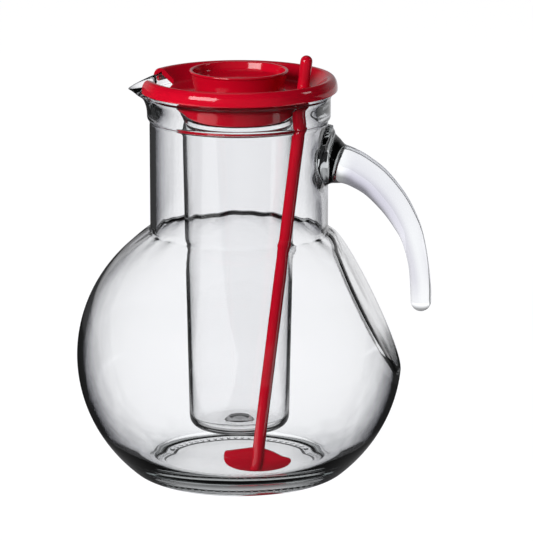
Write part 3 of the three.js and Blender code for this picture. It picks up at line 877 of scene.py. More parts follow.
def glass_body():
    """The blown glass, outside and inside in one closed skin."""
    size = sizes()
    neck = size.neck_radius
    bore = neck - size.wall
    ball_bore = size.ball_radius - size.wall
    outer_ball = ball_rows(size.ball_radius, size.foot_radius, RING_LEVEL, 0.0, *OUTER_STEPS)
    inner_ball = ball_rows(
        ball_bore, size.floor_radius, size.base + FLOOR_STEP, FLOOR_RIM_ANGLE, *INNER_STEPS
    )
    underside = underside_rows()
    outer_neck = [(neck, z) for z in neck_heights(neck, size.band_foot - NECK_MARGIN)[1:]]
    mouth = mouth_rows(outer_ball[-1], (bore, inner_ball[-1][1] + BORE_MARGIN))
    inner_neck = [(bore, z) for z in np.flip(neck_heights(bore, seat_foot() - NECK_MARGIN))[:-1]]
    floor = floor_rows(inner_ball[0])
    rows = underside[:-1] + outer_ball + outer_neck + mouth + inner_neck + inner_ball[::-1] + floor
    outer_from = len(underside) + HEEL_STEPS
    outer_to = len(underside) - 1 + len(outer_ball)
    inner_from = len(rows) - len(floor) - len(inner_ball)
    inner_to = len(rows) - len(floor) - HEEL_STEPS - 1

    def move(point, row):
        """Shapes a point of the plain turned form by the part of the jug that its row belongs to."""
        if outer_from <= row < outer_to:
            return waved(pressed(point, size.ball_radius, size.face_distance, neck))
        if inner_from <= row < inner_to:
            return settled(waved(pressed(point, ball_bore, size.face_distance - size.wall, bore)))
        if row >= inner_to:
            return settled(point)
        return with_beak(lumped(waved(point)))

    return revolve("glass_jug_body", rows, jug_azimuths(), move)


# Stations of the handle's middle line, as shares of its reach and fall, with its half sizes there as
# shares of its half thickness and half width
HANDLE_STATION_SHARES = [
    (0.0, 0.0, 1.95, 2.1),
    (0.022, 0.002, 1.62, 1.72),
    (0.055, 0.006, 1.32, 1.38),
    (0.115, 0.017, 1.1, 1.14),
    (0.21, 0.033, 1.0, 1.02),
    (0.33, 0.07, 0.95, 0.95),
    (0.505, 0.15, 0.88, 0.89),
    (0.69, 0.285, 0.8, 0.85),
    (0.82, 0.42, 0.71, 0.8),
    (0.905, 0.545, 0.62, 0.76),
    (0.97, 0.73, 0.55, 0.71),
    (0.995, 0.9, 0.56, 0.68),
    (1.0, 1.0, 0.55, 0.65),
]
HANDLE_SIDES = 48
HANDLE_STEPS = 96
HANDLE_TIP_STEPS = 9
HANDLE_BITE = 1.4 * MM
HUG_END_SHARE = 0.2
ACROSS = Vector((0.0, 1.0, 0.0))


def smooth_path(stations, steps):
    """Catmull-Rom interpolation of rows of numbers."""
    rows = np.array(stations, float)
    first = 2 * rows[0] - rows[1]
    last = 2 * rows[-1] - rows[-2]
    padded = np.vstack([first, rows, last])
    made = []
    spans = len(rows) - 1
    for t in np.linspace(0, spans, steps + 1):
        k = min(int(t), spans - 1)
        u = t - k
        a, b, c, d = padded[k:k + 4]
        square = (2 * a - 5 * b + 4 * c - d) * u ** 2
        cube = (3 * b - a - 3 * c + d) * u ** 3
        made.append(0.5 * (2 * b + (c - a) * u + square + cube))
    return np.array(made)


def handle_ring(centre, along, thick, wide):
    """An oval ring round the handle's middle line."""
    out = ACROSS.cross(along).normalized()
    return [
        centre + out * (thick * math.cos(a)) + ACROSS * (wide * math.sin(a))
        for a in even_azimuths(HANDLE_SIDES)
    ]


def handle_root_rings(centre, ring):
    """The handle's end inside the neck's wall, from its middle out to a ring."""
    seat = sizes().neck_radius - HANDLE_BITE
    rings = [[Vector((seat, 0.0, centre.z))]]
    for spread in (0.25, 0.5, 0.75, 1.0):
        points = [centre + (p - centre) * spread for p in ring]
        rings.append([Vector((math.sqrt(max(seat ** 2 - p.y ** 2, 0.0)), p.y, p.z)) for p in points])
    return rings


def hugging(points, hug):
    """Bends a ring round the neck, by a share that falls to 0 away from it."""
    radius = sizes().neck_radius
    bends = [radius - math.sqrt(max(radius ** 2 - p.y ** 2, 0.0)) for p in points]
    return [Vector((p.x - bend * hug, p.y, p.z)) for p, bend in zip(points, bends)]


def handle_bar():
    """The handle, from inside the neck's wall to its rounded free end."""
    size = sizes()
    rows = smooth_path(HANDLE_STATION_SHARES, HANDLE_STEPS)
    centres = [
        Vector((size.neck_radius + out * size.handle_reach, 0.0, size.handle_root - fall * size.handle_fall))
        for out, fall, _, _ in rows
    ]
    before = [centres[0]] + centres[:-1]
    after = centres[1:] + [centres[-1]]
    tangents = [(b - a).normalized() for a, b in zip(before, after)]
    tangents[0] = Vector((1.0, 0.0, 0.0))
    halves = [(row[2] * size.handle_thickness, row[3] * size.handle_width) for row in rows]
    rings = handle_root_rings(centres[0], handle_ring(centres[0], tangents[0], *halves[0]))
    for centre, along, half, row in zip(centres, tangents, halves, rows):
        rings.append(hugging(handle_ring(centre, along, *half), 1 - ease(row[0] / HUG_END_SHARE)))
    end = centres[-1]
    along = tangents[-1]
    thick, wide = halves[-1]
    for i in range(1, HANDLE_TIP_STEPS):
        a = math.pi / 2 * i / HANDLE_TIP_STEPS
        tip = end + along * (thick * math.sin(a))
        rings.append(handle_ring(tip, along, thick * math.cos(a), wide * math.cos(a)))
    rings.append([end + along * thick])
    return loft("glass_handle_bar", rings)


def foot_ticks_tree(material):
    """A ring of short ribs, each a stretched ball, with named inputs for its sizes."""
    tree = bpy.data.node_groups.new("foot ticks", "GeometryNodeTree")
    tree.is_modifier = True
    kinds = {"Geometry": "Geometry", "Ring radius": "Float", "Rib length": "Float", "Rib size": "Float"}
    for name, kind in (*kinds.items(), ("Count", "Int")):
        tree.interface.new_socket(name, in_out="INPUT", socket_type="NodeSocket" + kind)
    tree.interface.new_socket("Geometry", in_out="OUTPUT", socket_type="NodeSocketGeometry")
    given = add_node(tree, "NodeGroupInput").outputs
    ring = {"Vertices": given["Count"], "Radius": given["Ring radius"]}
    circle = add_node(tree, "GeometryNodeMeshCircle", ring)
    rib = add_node(tree, "GeometryNodeMeshIcoSphere", {"Subdivisions": 2, "Radius": given["Rib size"]})
    stretch = numbered(tree, "DIVIDE", given["Rib length"], given["Rib size"])
    scale = add_node(tree, "ShaderNodeCombineXYZ", {"X": stretch, "Y": 1.4, "Z": 0.5})
    position = add_node(tree, "GeometryNodeInputPosition").outputs["Position"]
    turn = add_node(tree, "FunctionNodeAlignRotationToVector", {"Vector": position}, axis="X")
    spread = add_node(tree, "GeometryNodeInstanceOnPoints", {
        "Points": circle.outputs["Mesh"],
        "Instance": rib.outputs["Mesh"],
        "Rotation": turn.outputs["Rotation"],
        "Scale": scale.outputs["Vector"],
    })
    real = add_node(tree, "GeometryNodeRealizeInstances", {"Geometry": spread.outputs["Instances"]})
    painted = {"Geometry": real.outputs["Geometry"], "Material": material}
    paint = add_node(tree, "GeometryNodeSetMaterial", painted)
    add_node(tree, "NodeGroupOutput", {"Geometry": paint.outputs["Geometry"]})
    return tree


def grown(name, tree, values):
    """An object made by a node tree, whose named inputs take the values."""
    obj = bpy.data.objects.new(name, bpy.data.meshes.new(name))
    bpy.context.scene.collection.objects.link(obj)
    modifier = obj.modifiers.new("grow", "NODES")
    modifier.node_group = tree
    for item in tree.interface.items_tree:
        if item.item_type == "SOCKET" and item.in_out == "INPUT" and item.name in values:
            modifier[item.identifier] = values[item.name]
    finished(obj)
    shade_smooth(obj)
    return obj


class JUG_OT_glass(bpy.types.Operator):
    """Build the glass jug with its handle"""

    bl_idname = "jug.build_glass"
    bl_label = "Glass jug"

    def execute(self, context):
        look = finishes()
        body = glass_body()
        combined(body, [handle_bar()], "UNION")
        shade_smooth(body)
        body.name = "glass_jug_and_handle"
        material = glass_material("clear glass", look.glass, look.glass_edge_painted_shade, **CLEAR_GLASS)
        dress(body, material, "jug", "glass", "glass_jug", "glass_handle")
        return {"FINISHED"}


# The ribs under the foot: the inset of their ring from the foot's edge, their size and their height
TICK_INSET = 6.5 * MM
TICK_SIZE = 0.6 * MM
TICK_LEVEL = 0.26 * MM


class JUG_OT_foot_ticks(bpy.types.Operator):
    """Build the ring of short ribs under the foot"""

    bl_idname = "jug.build_foot_ticks"
    bl_label = "Foot ribs"

    def execute(self, context):
        size = sizes()
        material = bpy.data.materials["clear glass"]
        values = {
            "Ring radius": size.foot_radius - TICK_INSET,
            "Rib length": size.tick_length / 2,
            "Rib size": TICK_SIZE,
            "Count": size.tick_count,
        }
        ticks = grown("glass_foot_ribs", foot_ticks_tree(material), values)
        transformed(ticks, Matrix.Translation((0.0, 0.0, TICK_LEVEL)))
        dress(ticks, material, "jug", "glass")
        return {"FINISHED"}


# The plastic pieces

# Heights, reaches and clearances of the lid, the cap and the tube, and the tube's lugs
DECK_DROP = 4.7 * MM
CAP_STAND = 10.6 * MM
SLEEVE_LENGTH = 11.8 * MM
LUG_DEPTH = 6.7 * MM
SLEEVE_WALL = 2 * MM
SKIRT_DROP = 4.4 * MM
CREST_INSET = 1.1 * MM
CREST_FLAT = 1.2 * MM
SEAT_TOP_DROP = 0.4 * MM
SHOULDER_RUN = 0.6 * MM
CAP_TAPER = 0.173
CAP_WALL = 1.5 * MM
CAP_LIP = 1.4 * MM
CAP_LIP_STEP = 0.6 * MM
CAP_LIP_RISE = 0.5 * MM
CAP_LIP_DRAFT = 0.2 * MM
FIT_GAP = 0.3 * MM
TUBE_GAP = 0.4 * MM
HOLE_GAP = 0.35 * MM
LUG_COUNT = 3
LUG_REACH = 0.8 * MM
LUG_HEIGHT = 2.4 * MM
LUG_HALF_WIDTH = 2.7 * MM

# What is cut from the lid: the ways by which the lugs go into the sleeve, the stirrer's hole and the notch
ENTRY_REACH = 1.1 * MM
ENTRY_HALF_WIDTH = 3.3 * MM
ENTRY_FOOT = 178 * MM
ENTRY_TOP = 187.6 * MM
ENTRY_TURN = math.radians(35.0)
DRILL_FOOT = 150 * MM
DRILL_TOP = 200 * MM
NOTCH_OUTSIDE = 80 * MM
NOTCH_BELOW = 3 * MM
NOTCH_ABOVE = 5 * MM


def deck_underside():
    """Height of the underside of the lid's deck."""
    return LIP_TOP - DECK_DROP - plastic().lid_wall


def cap_side(below):
    """Radius of the cap's tapering side, at a depth below its lip."""
    return plastic().cap_rim - CAP_LIP_STEP - below * CAP_TAPER


def sleeve_corners(under):
    """The sleeve under the deck, with the groove that the tube's lugs turn in."""
    part = plastic()
    bore = part.tube_radius + TUBE_GAP
    outside = bore + SLEEVE_WALL
    foot = under - SLEEVE_LENGTH
    lug_top = under - FIT_GAP - LUG_DEPTH
    groove = part.tube_radius + LUG_REACH + FIT_GAP
    groove_top = lug_top + FIT_GAP
    groove_foot = lug_top - LUG_HEIGHT - FIT_GAP
    return [
        (bore, under, 0.4 * MM),
        (bore, groove_top, 0.1 * MM),
        (groove, groove_top, 0.1 * MM),
        (groove, groove_foot, 0.1 * MM),
        (bore, groove_foot, 0.1 * MM),
        (bore, foot, 0.5 * MM),
        (outside, foot, 0.5 * MM),
        (outside, under, 0.8 * MM),
    ]


def lid_profile():
    """The lid's section: its underside with the sleeve, its rolled bead and its deck."""
    size = sizes()
    part = plastic()
    wall = part.lid_wall
    under = deck_underside()
    lip = size.neck_radius + size.band_step + size.lip_step
    skirt_bore = lip + part.skirt_gap
    skirt = skirt_bore + wall
    skirt_foot = LIP_TOP - SKIRT_DROP
    crest_radius = lip - CREST_INSET
    shoulder = LID_TOP - wall * 1.25
    leg = part.seat_gap + wall
    hole_top = cap_side(CAP_STAND - CAP_LIP) + FIT_GAP
    hole_foot = hole_top - wall * CAP_TAPER
    seat_top = LIP_TOP - SEAT_TOP_DROP
    cavity = LID_TOP - wall
    squash = (LID_TOP - (skirt_foot + wall)) / (skirt - crest_radius)
    bead = [
        (crest_radius + r, skirt_foot + wall + z * squash)
        for r, z in arc(0.0, 0.0, skirt - crest_radius, 0.0, math.pi / 2, 16)
    ]
    inside = [(hole_foot, under)] + sleeve_corners(under) + [
        (part.deck_radius + wall, under, 0.8 * MM),
        (mouth_seat_radius(seat_top) - part.seat_gap, seat_top, 0.6 * MM),
        (crest_radius - CREST_FLAT, cavity, 1.0 * MM),
        (skirt_bore, cavity - wall * 1.2, 1.0 * MM),
        (skirt_bore, skirt_foot, 0.3 * MM),
        (skirt, skirt_foot, 0.7 * MM),
    ]
    top = [
        bead[-1],
        (mouth_seat_radius(shoulder) - leg + SHOULDER_RUN, shoulder + wall, 1.4 * MM),
        (part.deck_radius, LIP_TOP - DECK_DROP, 1.2 * MM),
        (hole_top, LIP_TOP - DECK_DROP, 0.3 * MM),
        (hole_foot, under),
    ]
    return rounded(inside + [bead[0]])[:-1] + bead[:-1] + rounded(top)


def stirrer_axis():
    """The stirrer's foot and its direction, in the part's frame."""
    joint = next(j for j in frame["joints"] if j["name"] == "stirrer_spin")
    up = Vector(joint["axis"]).normalized()
    at_deck = Vector(joint["pos_m"])
    foot = at_deck - up * ((at_deck.z - sizes().base - plastic().stirrer_gap) / up.z)
    return foot, up


def stirrer_matrix():
    """Turns a shape that stands on the origin along +Z onto the stirrer's axis."""
    foot, up = stirrer_axis()
    side = Matrix.Rotation(LID_TURN, 3, "Z") @ Vector((1.0, 0.0, 0.0))
    side = (side - up * side.dot(up)).normalized()
    front = up.cross(side)
    turn = Matrix((side, front, up)).transposed().to_4x4()
    return Matrix.Translation(foot) @ turn @ Matrix.Rotation(PADDLE_TURN, 4, "Z")


def lid_cutters():
    """The notch at the beak, the stirrer's hole and the entries of the tube's lugs."""
    part = plastic()
    low = deck_underside() - NOTCH_BELOW
    high = LID_TOP + NOTCH_ABOVE
    half = part.notch_half_width
    notch = box_tool("notch", (-NOTCH_OUTSIDE, -half, low), (-part.notch_back, half, high))
    transformed(notch, Matrix.Rotation(LID_TURN, 4, "Z"))
    drill = rod_tool("drill", part.shaft_radius + HOLE_GAP, DRILL_FOOT, DRILL_TOP)
    transformed(drill, stirrer_matrix())
    entries = boxes_round(
        "entry",
        (part.tube_radius - LUG_REACH, -ENTRY_HALF_WIDTH, ENTRY_FOOT),
        (part.tube_radius + ENTRY_REACH, ENTRY_HALF_WIDTH, ENTRY_TOP),
        ENTRY_TURN + LID_TURN,
        LUG_COUNT,
    )
    return [notch, drill] + entries


class JUG_OT_lid(bpy.types.Operator):
    """Build the lid with its rolled bead, notch, sleeve and stirrer hole"""

    bl_idname = "jug.build_lid"
    bl_label = "Lid"

    def execute(self, context):
        body = revolve("lid_shell", lid_profile(), even_azimuths(LID_SIDES))
        combined(body, lid_cutters(), "DIFFERENCE")
        shade_smooth(body, LID_CREASE)
        dress(body, bpy.data.materials["red moulded plastic"], "lid", "red_plastic", "lid")
        return {"FINISHED"}


def cap_profile():
    """The cap's section, from the middle of its underside round to its recessed top."""
    part = plastic()
    side_top = CAP_TOP - CAP_LIP
    recess = CAP_TOP - part.cap_recess
    hollow = recess - CAP_WALL

    def side(height):
        return cap_side(side_top - height)

    return rounded([
        (0.0, hollow),
        (side(hollow) - CAP_WALL, hollow, 1.2 * MM),
        (side(CAP_FOOT) - CAP_WALL, CAP_FOOT, 0.5 * MM),
        (side(CAP_FOOT), CAP_FOOT, 0.5 * MM),
        (side(side_top), side_top, 0.3 * MM),
        (part.cap_rim, side_top + CAP_LIP_RISE, 0.4 * MM),
        (part.cap_rim - CAP_LIP_DRAFT, CAP_TOP, 0.6 * MM),
        (part.cap_rim - CAP_WALL, CAP_TOP, 0.5 * MM),
        (side(recess) - CAP_WALL, recess, 1.0 * MM),
        (0.0, recess),
    ])


class JUG_OT_cap(bpy.types.Operator):
    """Build the plug that closes the ice tube"""

    bl_idname = "jug.build_cap"
    bl_label = "Tube cap"

    def execute(self, context):
        body = revolve("tube_cap_plug", cap_profile(), even_azimuths(ROUND_SIDES))
        dress(body, bpy.data.materials["red moulded plastic"], "tube_cap", "red_plastic", "tube_cap")
        return {"FINISHED"}


# The tube's closed end with its gate dimple, and the flange under the sleeve
TUBE_FLOOR = 2.8 * MM
GATE_RADIUS = 7.0 * MM
FLANGE_REACH = 2.4 * MM
FLANGE_THICKNESS = 1.5 * MM
FLANGE_SLOPE = 1.5 * MM


def tube_profile():
    """The tube's section, from the gate outside up to its rim and down to the gate inside."""
    part = plastic()
    wall = part.tube_wall
    radius = part.tube_radius
    foot = radius - part.tube_taper
    floor = TUBE_FOOT + TUBE_FLOOR
    flange = radius + FLANGE_REACH
    flange_top = deck_underside() - SLEEVE_LENGTH - FIT_GAP
    flange_foot = flange_top - FLANGE_THICKNESS
    return rounded([
        (0.0, TUBE_FOOT + 1.6 * MM),
        (5.2 * MM, TUBE_FOOT + 1.0 * MM, 0.5 * MM),
        (GATE_RADIUS, TUBE_FOOT, 0.6 * MM),
        (foot, TUBE_FOOT, 6.0 * MM),
        (radius, flange_foot - FLANGE_SLOPE, 0.5 * MM),
        (flange, flange_foot, 0.4 * MM),
        (flange, flange_top, 0.4 * MM),
        (radius, flange_top, 0.3 * MM),
        (radius, TUBE_TOP, 0.4 * MM),
        (radius - wall, TUBE_TOP, 0.4 * MM),
        (radius - wall, flange_foot, 1.0 * MM),
        (foot - wall, floor, 4.3 * MM),
        (GATE_RADIUS, floor, 0.8 * MM),
        (5.4 * MM, floor + 1.8 * MM, 0.8 * MM),
        (0.0, floor + 2.6 * MM),
    ], 6)


class JUG_OT_tube(bpy.types.Operator):
    """Build the clear ice tube with its flange, lugs and gate dimple"""

    bl_idname = "jug.build_tube"
    bl_label = "Ice tube"

    def execute(self, context):
        part = plastic()
        body = revolve("ice_tube_clear", tube_profile(), even_azimuths(ROUND_SIDES))
        material = glass_material("clear plastic", finishes().tube, CLEAR_PLASTIC_EDGE, **CLEAR_PLASTIC)
        lugs = boxes_round(
            "lug",
            (part.tube_radius - part.tube_wall / 2, -LUG_HALF_WIDTH, TUBE_TOP - LUG_DEPTH - LUG_HEIGHT),
            (part.tube_radius + LUG_REACH, LUG_HALF_WIDTH, TUBE_TOP - LUG_DEPTH),
            LID_TURN,
            LUG_COUNT,
        )
        combined(body, lugs, "UNION")
        shade_smooth(body)
        dress(body, material, "ice_tube", "clear_plastic", "ice_tube")
        return {"FINISHED"}


# The paddle's layers, as shares of its thickness and of how far its edge is drawn in. Then its corners, the
# rod's foot in it, and the ends and rows of the rod's straight stretch
PADDLE_LAYER_SHARES = [(-0.5, 0.06), (-0.36, 0.0), (0.36, 0.0), (0.5, 0.06)]
PADDLE_CORNER = 2.4 * MM
PADDLE_SLOPE = 3.4 * MM
ROD_FOOT = 2.2 * MM
ROD_START = 2.4 * MM
ROD_MARGIN = 0.2 * MM
ROD_TOP_GAP = 0.1 * MM
ROD_ROWS = 12


def paddle_outline(steps=20):
    """Half-round outline with sloping shoulders, anticlockwise in the XZ plane from the top."""
    part = plastic()
    half = part.paddle_half_width
    shoulder = part.paddle_height - PADDLE_SLOPE
    bowl = shoulder - PADDLE_CORNER
    a = np.array((PADDLE_CORNER - half, shoulder))
    b = np.array((-half, shoulder))
    c = np.array((-half, bowl))
    points = [(0.0, part.paddle_height), tuple(a)]
    for t in np.linspace(0, 1, 5)[1:]:
        points.append(tuple(a * (1 - t) ** 2 + b * 2 * t * (1 - t) + c * t ** 2))
    for i in range(1, steps):
        turn = math.pi + math.pi * i / steps
        points.append((half * math.cos(turn), bowl + bowl * math.sin(turn)))
    for x, z in points[5:0:-1]:
        points.append((-x, z))
    return points


def paddle_blade():
    """The paddle, with its edges drawn in towards both faces."""
    part = plastic()
    middle = part.paddle_height / 2
    centre = np.array((0.0, middle))
    outline = [np.array(point) for point in paddle_outline()]
    rings = []
    for depth, inset in PADDLE_LAYER_SHARES:
        drawn = [point + (centre - point) * inset for point in outline]
        rings.append([Vector((x, depth * part.paddle_thickness, z)) for x, z in drawn])
    first, last = [[Vector((0.0, ring[0].y, middle))] for ring in (rings[0], rings[-1])]
    return loft("blade", [first] + rings + [last])


def rod_profile(length_along):
    """The stirrer's rod, flat at its foot inside the paddle and round at its top."""
    radius = plastic().shaft_radius
    profile = [(0.0, ROD_FOOT), (radius, ROD_FOOT)]
    profile += [(radius, z) for z in np.linspace(ROD_START, length_along - radius - ROD_MARGIN, ROD_ROWS)]
    return profile + arc(0.0, length_along - radius, radius, 0.0, math.pi / 2, 10)


class JUG_OT_stirrer(bpy.types.Operator):
    """Build the stirrer, a rod with a half-round paddle"""

    bl_idname = "jug.build_stirrer"
    bl_label = "Stirrer"

    def execute(self, context):
        foot, up = stirrer_axis()
        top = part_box("stirrer")[1].z
        reach = (top - foot.z) / up.z - ROD_TOP_GAP
        body = revolve("stirrer_rod", rod_profile(reach), even_azimuths(ROD_SIDES))
        combined(body, [paddle_blade()], "UNION")
        shade_smooth(body, STIRRER_CREASE)
        transformed(body, stirrer_matrix())
        dress(body, bpy.data.materials["red moulded plastic"], "stirrer", "red_plastic", "stirrer")
        return {"FINISHED"}


# The stage

# Brightness of the floor for each kind of ray: seen straight, seen through glass, lighting matt surfaces,
# and mirrored. The mirrored levels differ by place, as dark and pale cards beside the set would make them
PALE = (0.985, 0.985, 1.0, 1.0)
FLOOR_SEEN = 1.13
FLOOR_THROUGH_GLASS = 1.2
FLOOR_LIGHTING = 0.2
FLOOR_FRONT = 0.05
FLOOR_CLOSE = 0.4
FLOOR_FAR = 0.15
FLOOR_SIDES = 0.02
FLOOR_PANE = 0.8
FLOOR_UNDER = 0.5
FLOOR_GLOW_SHARE = 0.88
FLOOR_HALF = 4.0
FLOOR_LEVEL = -0.4 * MM

# Where the mirrored levels change, in metres from the jug's axis
SIDES_SPAN = (0.06, 0.09)
SIDES_END_SPAN = (0.4, 0.55)
LEFT_SPAN = (-0.1, -0.06)
LEFT_SHARE = 0.9
CLOSE_SPAN = (-0.06, 0.1)
FAR_SPAN = (0.45, 0.6)
PANE_SIDE_SPAN = (0.1, 0.15)
PANE_BACK_SPAN = (0.4, 0.5)
UNDER_SPAN = (0.042, 0.052)

# The same for the world. Mirrored rays see a dark room with a pale wall behind. Its spans are of a
# direction's height or depth
WORLD_SEEN = 1.02
WORLD_ELSE = 0.1
WORLD_LIGHTING = 0.15
WORLD_HORIZON = 1.25
WORLD_CEILING = 0.4
WALL_LEVEL = 0.45
WALL_TOP_LEVEL = 0.06
SIDE_LEVEL = 0.06
FRONT_LEVEL = 0.35
CEILING_SPAN = (0.06, 0.45)
WALL_SPAN = (0.3, 0.5)
DEPTH_SPAN = (0.35, 0.8)


def light_path(tree, names):
    """What the ray's path so far says under each name, and the greatest of them if there are more."""
    path = add_node(tree, "ShaderNodeLightPath").outputs
    total = path[names[0]]
    for name in names[1:]:
        total = greater(tree, total, path[name])
    return total


def mirrored_share(tree):
    """1 for rays that glass or gloss has mirrored on their way."""
    return numbered(tree, "GREATER_THAN", light_path(tree, ["Glossy Depth"]), 0.5)


def lighting_share(tree):
    """1 for rays that light a matt surface, through glass or not."""
    return numbered(tree, "GREATER_THAN", light_path(tree, ["Diffuse Depth"]), 0.5)


def mirrored_floor(tree):
    """The floor's level in mirrored rays: dark at the sides, with pale patches behind and under the foot."""
    place, x, y, _ = coordinates(tree)
    aside = numbered(tree, "ABSOLUTE", x)
    along = numbered(tree, "ABSOLUTE", y)
    near_sides = product(tree, ramped(tree, aside, SIDES_SPAN), ramped(tree, along, SIDES_END_SPAN, 1.0, 0.0))
    dark_sides = greater(tree, near_sides, ramped(tree, x, LEFT_SPAN, LEFT_SHARE, 0.0))
    close = ramped(tree, y, CLOSE_SPAN, FLOOR_FRONT, FLOOR_CLOSE)
    behind = greater(tree, close, ramped(tree, along, FAR_SPAN, FLOOR_FRONT, FLOOR_FAR))
    pane = product(tree, ramped(tree, x, PANE_SIDE_SPAN), ramped(tree, y, PANE_BACK_SPAN))
    from_middle = add_node(tree, "ShaderNodeVectorMath", {0: place}, operation="LENGTH").outputs["Value"]
    under = ramped(tree, from_middle, UNDER_SPAN, 1.0, 0.0)
    room = levelled(tree, dark_sides, behind, FLOOR_SIDES)
    return levelled(tree, under, levelled(tree, pane, room, FLOOR_PANE), FLOOR_UNDER)


def floor_material():
    """Pale floor that shows white and keeps the object's shadow."""
    material, tree, shader = new_material("pale floor")
    shader.inputs["Base Color"].default_value = (0.9, 0.9, 0.9, 1.0)
    shader.inputs["Roughness"].default_value = 1.0
    shader.inputs["Specular IOR Level"].default_value = 0.0
    behind_glass = levelled(tree, mirrored_share(tree), FLOOR_THROUGH_GLASS, mirrored_floor(tree))
    through = light_path(tree, ["Is Glossy Ray", "Is Transmission Ray"])
    shown = levelled(tree, through, FLOOR_SEEN, behind_glass)
    strength = levelled(tree, lighting_share(tree), shown, FLOOR_LIGHTING)
    white = add_node(tree, "ShaderNodeEmission", {"Color": PALE, "Strength": strength})
    seen = light_path(tree, ["Is Camera Ray", "Is Glossy Ray", "Is Transmission Ray"])
    amount = product(tree, seen, levelled(tree, mirrored_share(tree), FLOOR_GLOW_SHARE, 1.0))
    layers = {"Fac": amount, 1: shader.outputs["BSDF"], 2: white.outputs["Emission"]}
    mix = add_node(tree, "ShaderNodeMixShader", layers)
    tree.links.new(mix.outputs["Shader"], tree.nodes["Material Output"].inputs["Surface"])
    return material


def world_light():
    """White to the camera, a bright horizon and dim ceiling through glass, and a dark room mirrored."""
    world = bpy.data.worlds.new("studio")
    bpy.context.scene.world = world
    world.use_nodes = True
    tree = world.node_tree
    background = tree.nodes["Background"]
    background.inputs["Color"].default_value = PALE
    _, _, y, z = coordinates(tree, "Generated")
    ceiling = ramped(tree, z, CEILING_SPAN, WORLD_HORIZON, WORLD_CEILING)
    wall = ramped(tree, z, WALL_SPAN, WALL_LEVEL, WALL_TOP_LEVEL)
    both_ways = ramped(tree, numbered(tree, "ABSOLUTE", y), DEPTH_SPAN, SIDE_LEVEL, FRONT_LEVEL)
    behind = greater(tree, ramped(tree, y, DEPTH_SPAN, SIDE_LEVEL, 1.0), both_ways)
    shown = levelled(tree, mirrored_share(tree), ceiling, product(tree, wall, behind))
    lit = levelled(tree, lighting_share(tree), shown, WORLD_LIGHTING)
    seen = light_path(tree, ["Is Transmission Ray", "Is Glossy Ray"])
    unseen = levelled(tree, seen, WORLD_ELSE, lit)
    strength = levelled(tree, light_path(tree, ["Is Camera Ray"]), unseen, WORLD_SEEN)
    tree.links.new(strength, background.inputs["Strength"])


# Where the lamps aim. Then each lamp: place, width, height, watts, and whether glass throws no shadow
LAMP_AIM = (0.0, 0.0, 0.15)
LAMPS = {
    "key": ((-1.0, -1.15, 0.72), 0.95, 0.6, 24, True),
    "fill": ((1.5, 0.1, 0.9), 0.35, 0.35, 2, True),
    "top": ((-0.2, 0.3, 1.6), 0.8, 0.8, 1.5, False),
}
# Lamps that lie on the floor: azimuth in degrees, from and to in metres, width, and watts
LOW_LAMPS = {
    "low left": (-150, 0.12, 1.0, 0.42, 2.4),
    "low right": (-14, 0.12, 0.8, 0.16, 0.6),
}


def lamp(name, place, width, height, power, through_glass=True):
    """An area lamp that lights the plastic pieces and the floor and doesn't show through glass."""
    data = bpy.data.lights.new(name, "AREA")
    data.shape = "RECTANGLE"
    data.size = width
    data.size_y = height
    data.energy = power
    obj = bpy.data.objects.new(name, data)
    bpy.context.scene.collection.objects.link(obj)
    obj.location = place
    obj.rotation_euler = (Vector(LAMP_AIM) - Vector(place)).to_track_quat("-Z", "Y").to_euler()
    obj.visible_camera = False
    obj.visible_transmission = False
    obj.light_linking.receiver_collection = lit_pieces()
    if through_glass:
        obj.light_linking.blocker_collection = lit_pieces()
    return obj


def low_lamp(name, azimuth, near, far, width, power):
    """A lamp that lies on the floor and shows as an upright streak in the gloss of upright plastic."""
    way = math.radians(azimuth)
    middle = (near + far) / 2
    obj = lamp(name, (middle * math.cos(way), middle * math.sin(way), 0.0), far - near, width, power)
    obj.rotation_euler = (math.pi, 0.0, way)
    obj.visible_diffuse = False
    return obj


def pale_floor():
    """A wide floor just under the foot."""
    ends = (-FLOOR_HALF, FLOOR_HALF)
    corners = [(x, y, FLOOR_LEVEL) for x, y in zip(ends + ends[::-1], np.repeat(ends, 2))]
    floor = make_mesh("pale_floor", corners, [(0, 1, 2, 3)])
    floor.data.materials.append(floor_material())
    return floor


def photo_camera():
    """The camera, placed so that the view matches the photograph's."""
    camera = bpy.data.cameras.new("camera")
    camera.sensor_fit = "AUTO"
    camera.sensor_width = SENSOR
    camera.lens = SENSOR * FOCAL_PIXELS / IMAGE_HEIGHT
    obj = bpy.data.objects.new("camera", camera)
    bpy.context.scene.collection.objects.link(obj)
    obj.location = (
        CAMERA_DISTANCE * math.sin(CAMERA_AZIMUTH),
        -CAMERA_DISTANCE * math.cos(CAMERA_AZIMUTH),
        CAMERA_HEIGHT,
    )
    yaw = math.atan((IMAGE_WIDTH / 2 - AXIS_PIXEL) / FOCAL_PIXELS)
    obj.rotation_euler = (math.pi / 2 - CAMERA_PITCH, 0.0, CAMERA_AZIMUTH - yaw)
    bpy.context.scene.camera = obj


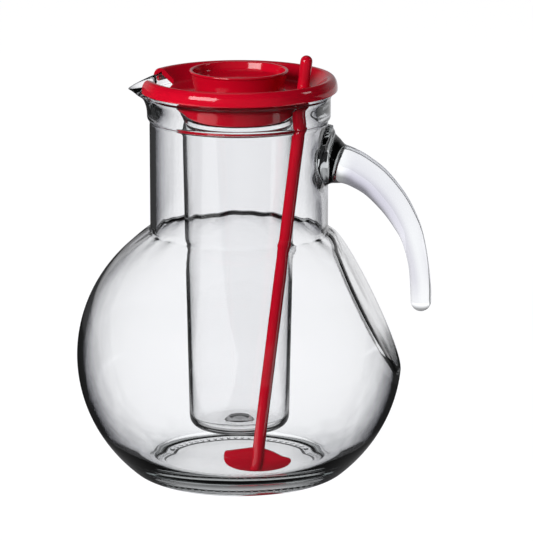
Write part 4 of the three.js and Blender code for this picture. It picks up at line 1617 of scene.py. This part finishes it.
class JUG_OT_stage(bpy.types.Operator):
    """Build the floor, the lights and the camera"""

    bl_idname = "jug.build_stage"
    bl_label = "Stage"

    def execute(self, context):
        floor = pale_floor()
        world_light()
        context.scene.collection.children.link(bpy.data.collections.new("lit pieces"))
        lit_pieces().objects.link(floor)
        for name, values in LAMPS.items():
            lamp(name, *values)
        for name, values in LOW_LAMPS.items():
            low_lamp(name, *values)
        photo_camera()
        context.scene.view_settings.view_transform = "Standard"
        return {"FINISHED"}


class JUG_OT_plastics(bpy.types.Operator):
    """Make the red plastic that the lid, cap and stirrer share"""

    bl_idname = "jug.build_plastics"
    bl_label = "Red plastic"

    def execute(self, context):
        red_plastic_material()
        return {"FINISHED"}


class JUG_PT_panel(bpy.types.Panel):
    """The pieces and their sizes, in the 3D view's sidebar"""

    bl_idname = "JUG_PT_panel"
    bl_label = "Glass jug"
    bl_space_type = "VIEW_3D"
    bl_region_type = "UI"
    bl_category = "Jug"

    def draw(self, context):
        for operator in OPERATORS:
            self.layout.operator(operator.bl_idname)
        for group in (context.scene.jug_glass, context.scene.jug_plastic, context.scene.jug_finishes):
            for name in group.__annotations__:
                self.layout.prop(group, name)


GROUPS = {"jug_glass": GlassSizes, "jug_plastic": PlasticSizes, "jug_finishes": Finishes}
OPERATORS = [
    JUG_OT_stage,
    JUG_OT_plastics,
    JUG_OT_glass,
    JUG_OT_foot_ticks,
    JUG_OT_lid,
    JUG_OT_cap,
    JUG_OT_tube,
    JUG_OT_stirrer,
]


def register():
    """Makes the groups, the operators and the panel known to Blender."""
    for name, group in GROUPS.items():
        bpy.utils.register_class(group)
        setattr(bpy.types.Scene, name, bpy.props.PointerProperty(type=group))
    for item in [*OPERATORS, JUG_PT_panel]:
        bpy.utils.register_class(item)


def unregister():
    """Takes them away again."""
    for item in [JUG_PT_panel, *reversed(OPERATORS)]:
        bpy.utils.unregister_class(item)
    for name, group in GROUPS.items():
        delattr(bpy.types.Scene, name)
        bpy.utils.unregister_class(group)


def main():
    """Builds the stage and the pieces."""
    register()
    for operator in OPERATORS:
        family, name = operator.bl_idname.split(".")
        getattr(getattr(bpy.ops, family), name)()


if __name__ == "__main__":
    main()
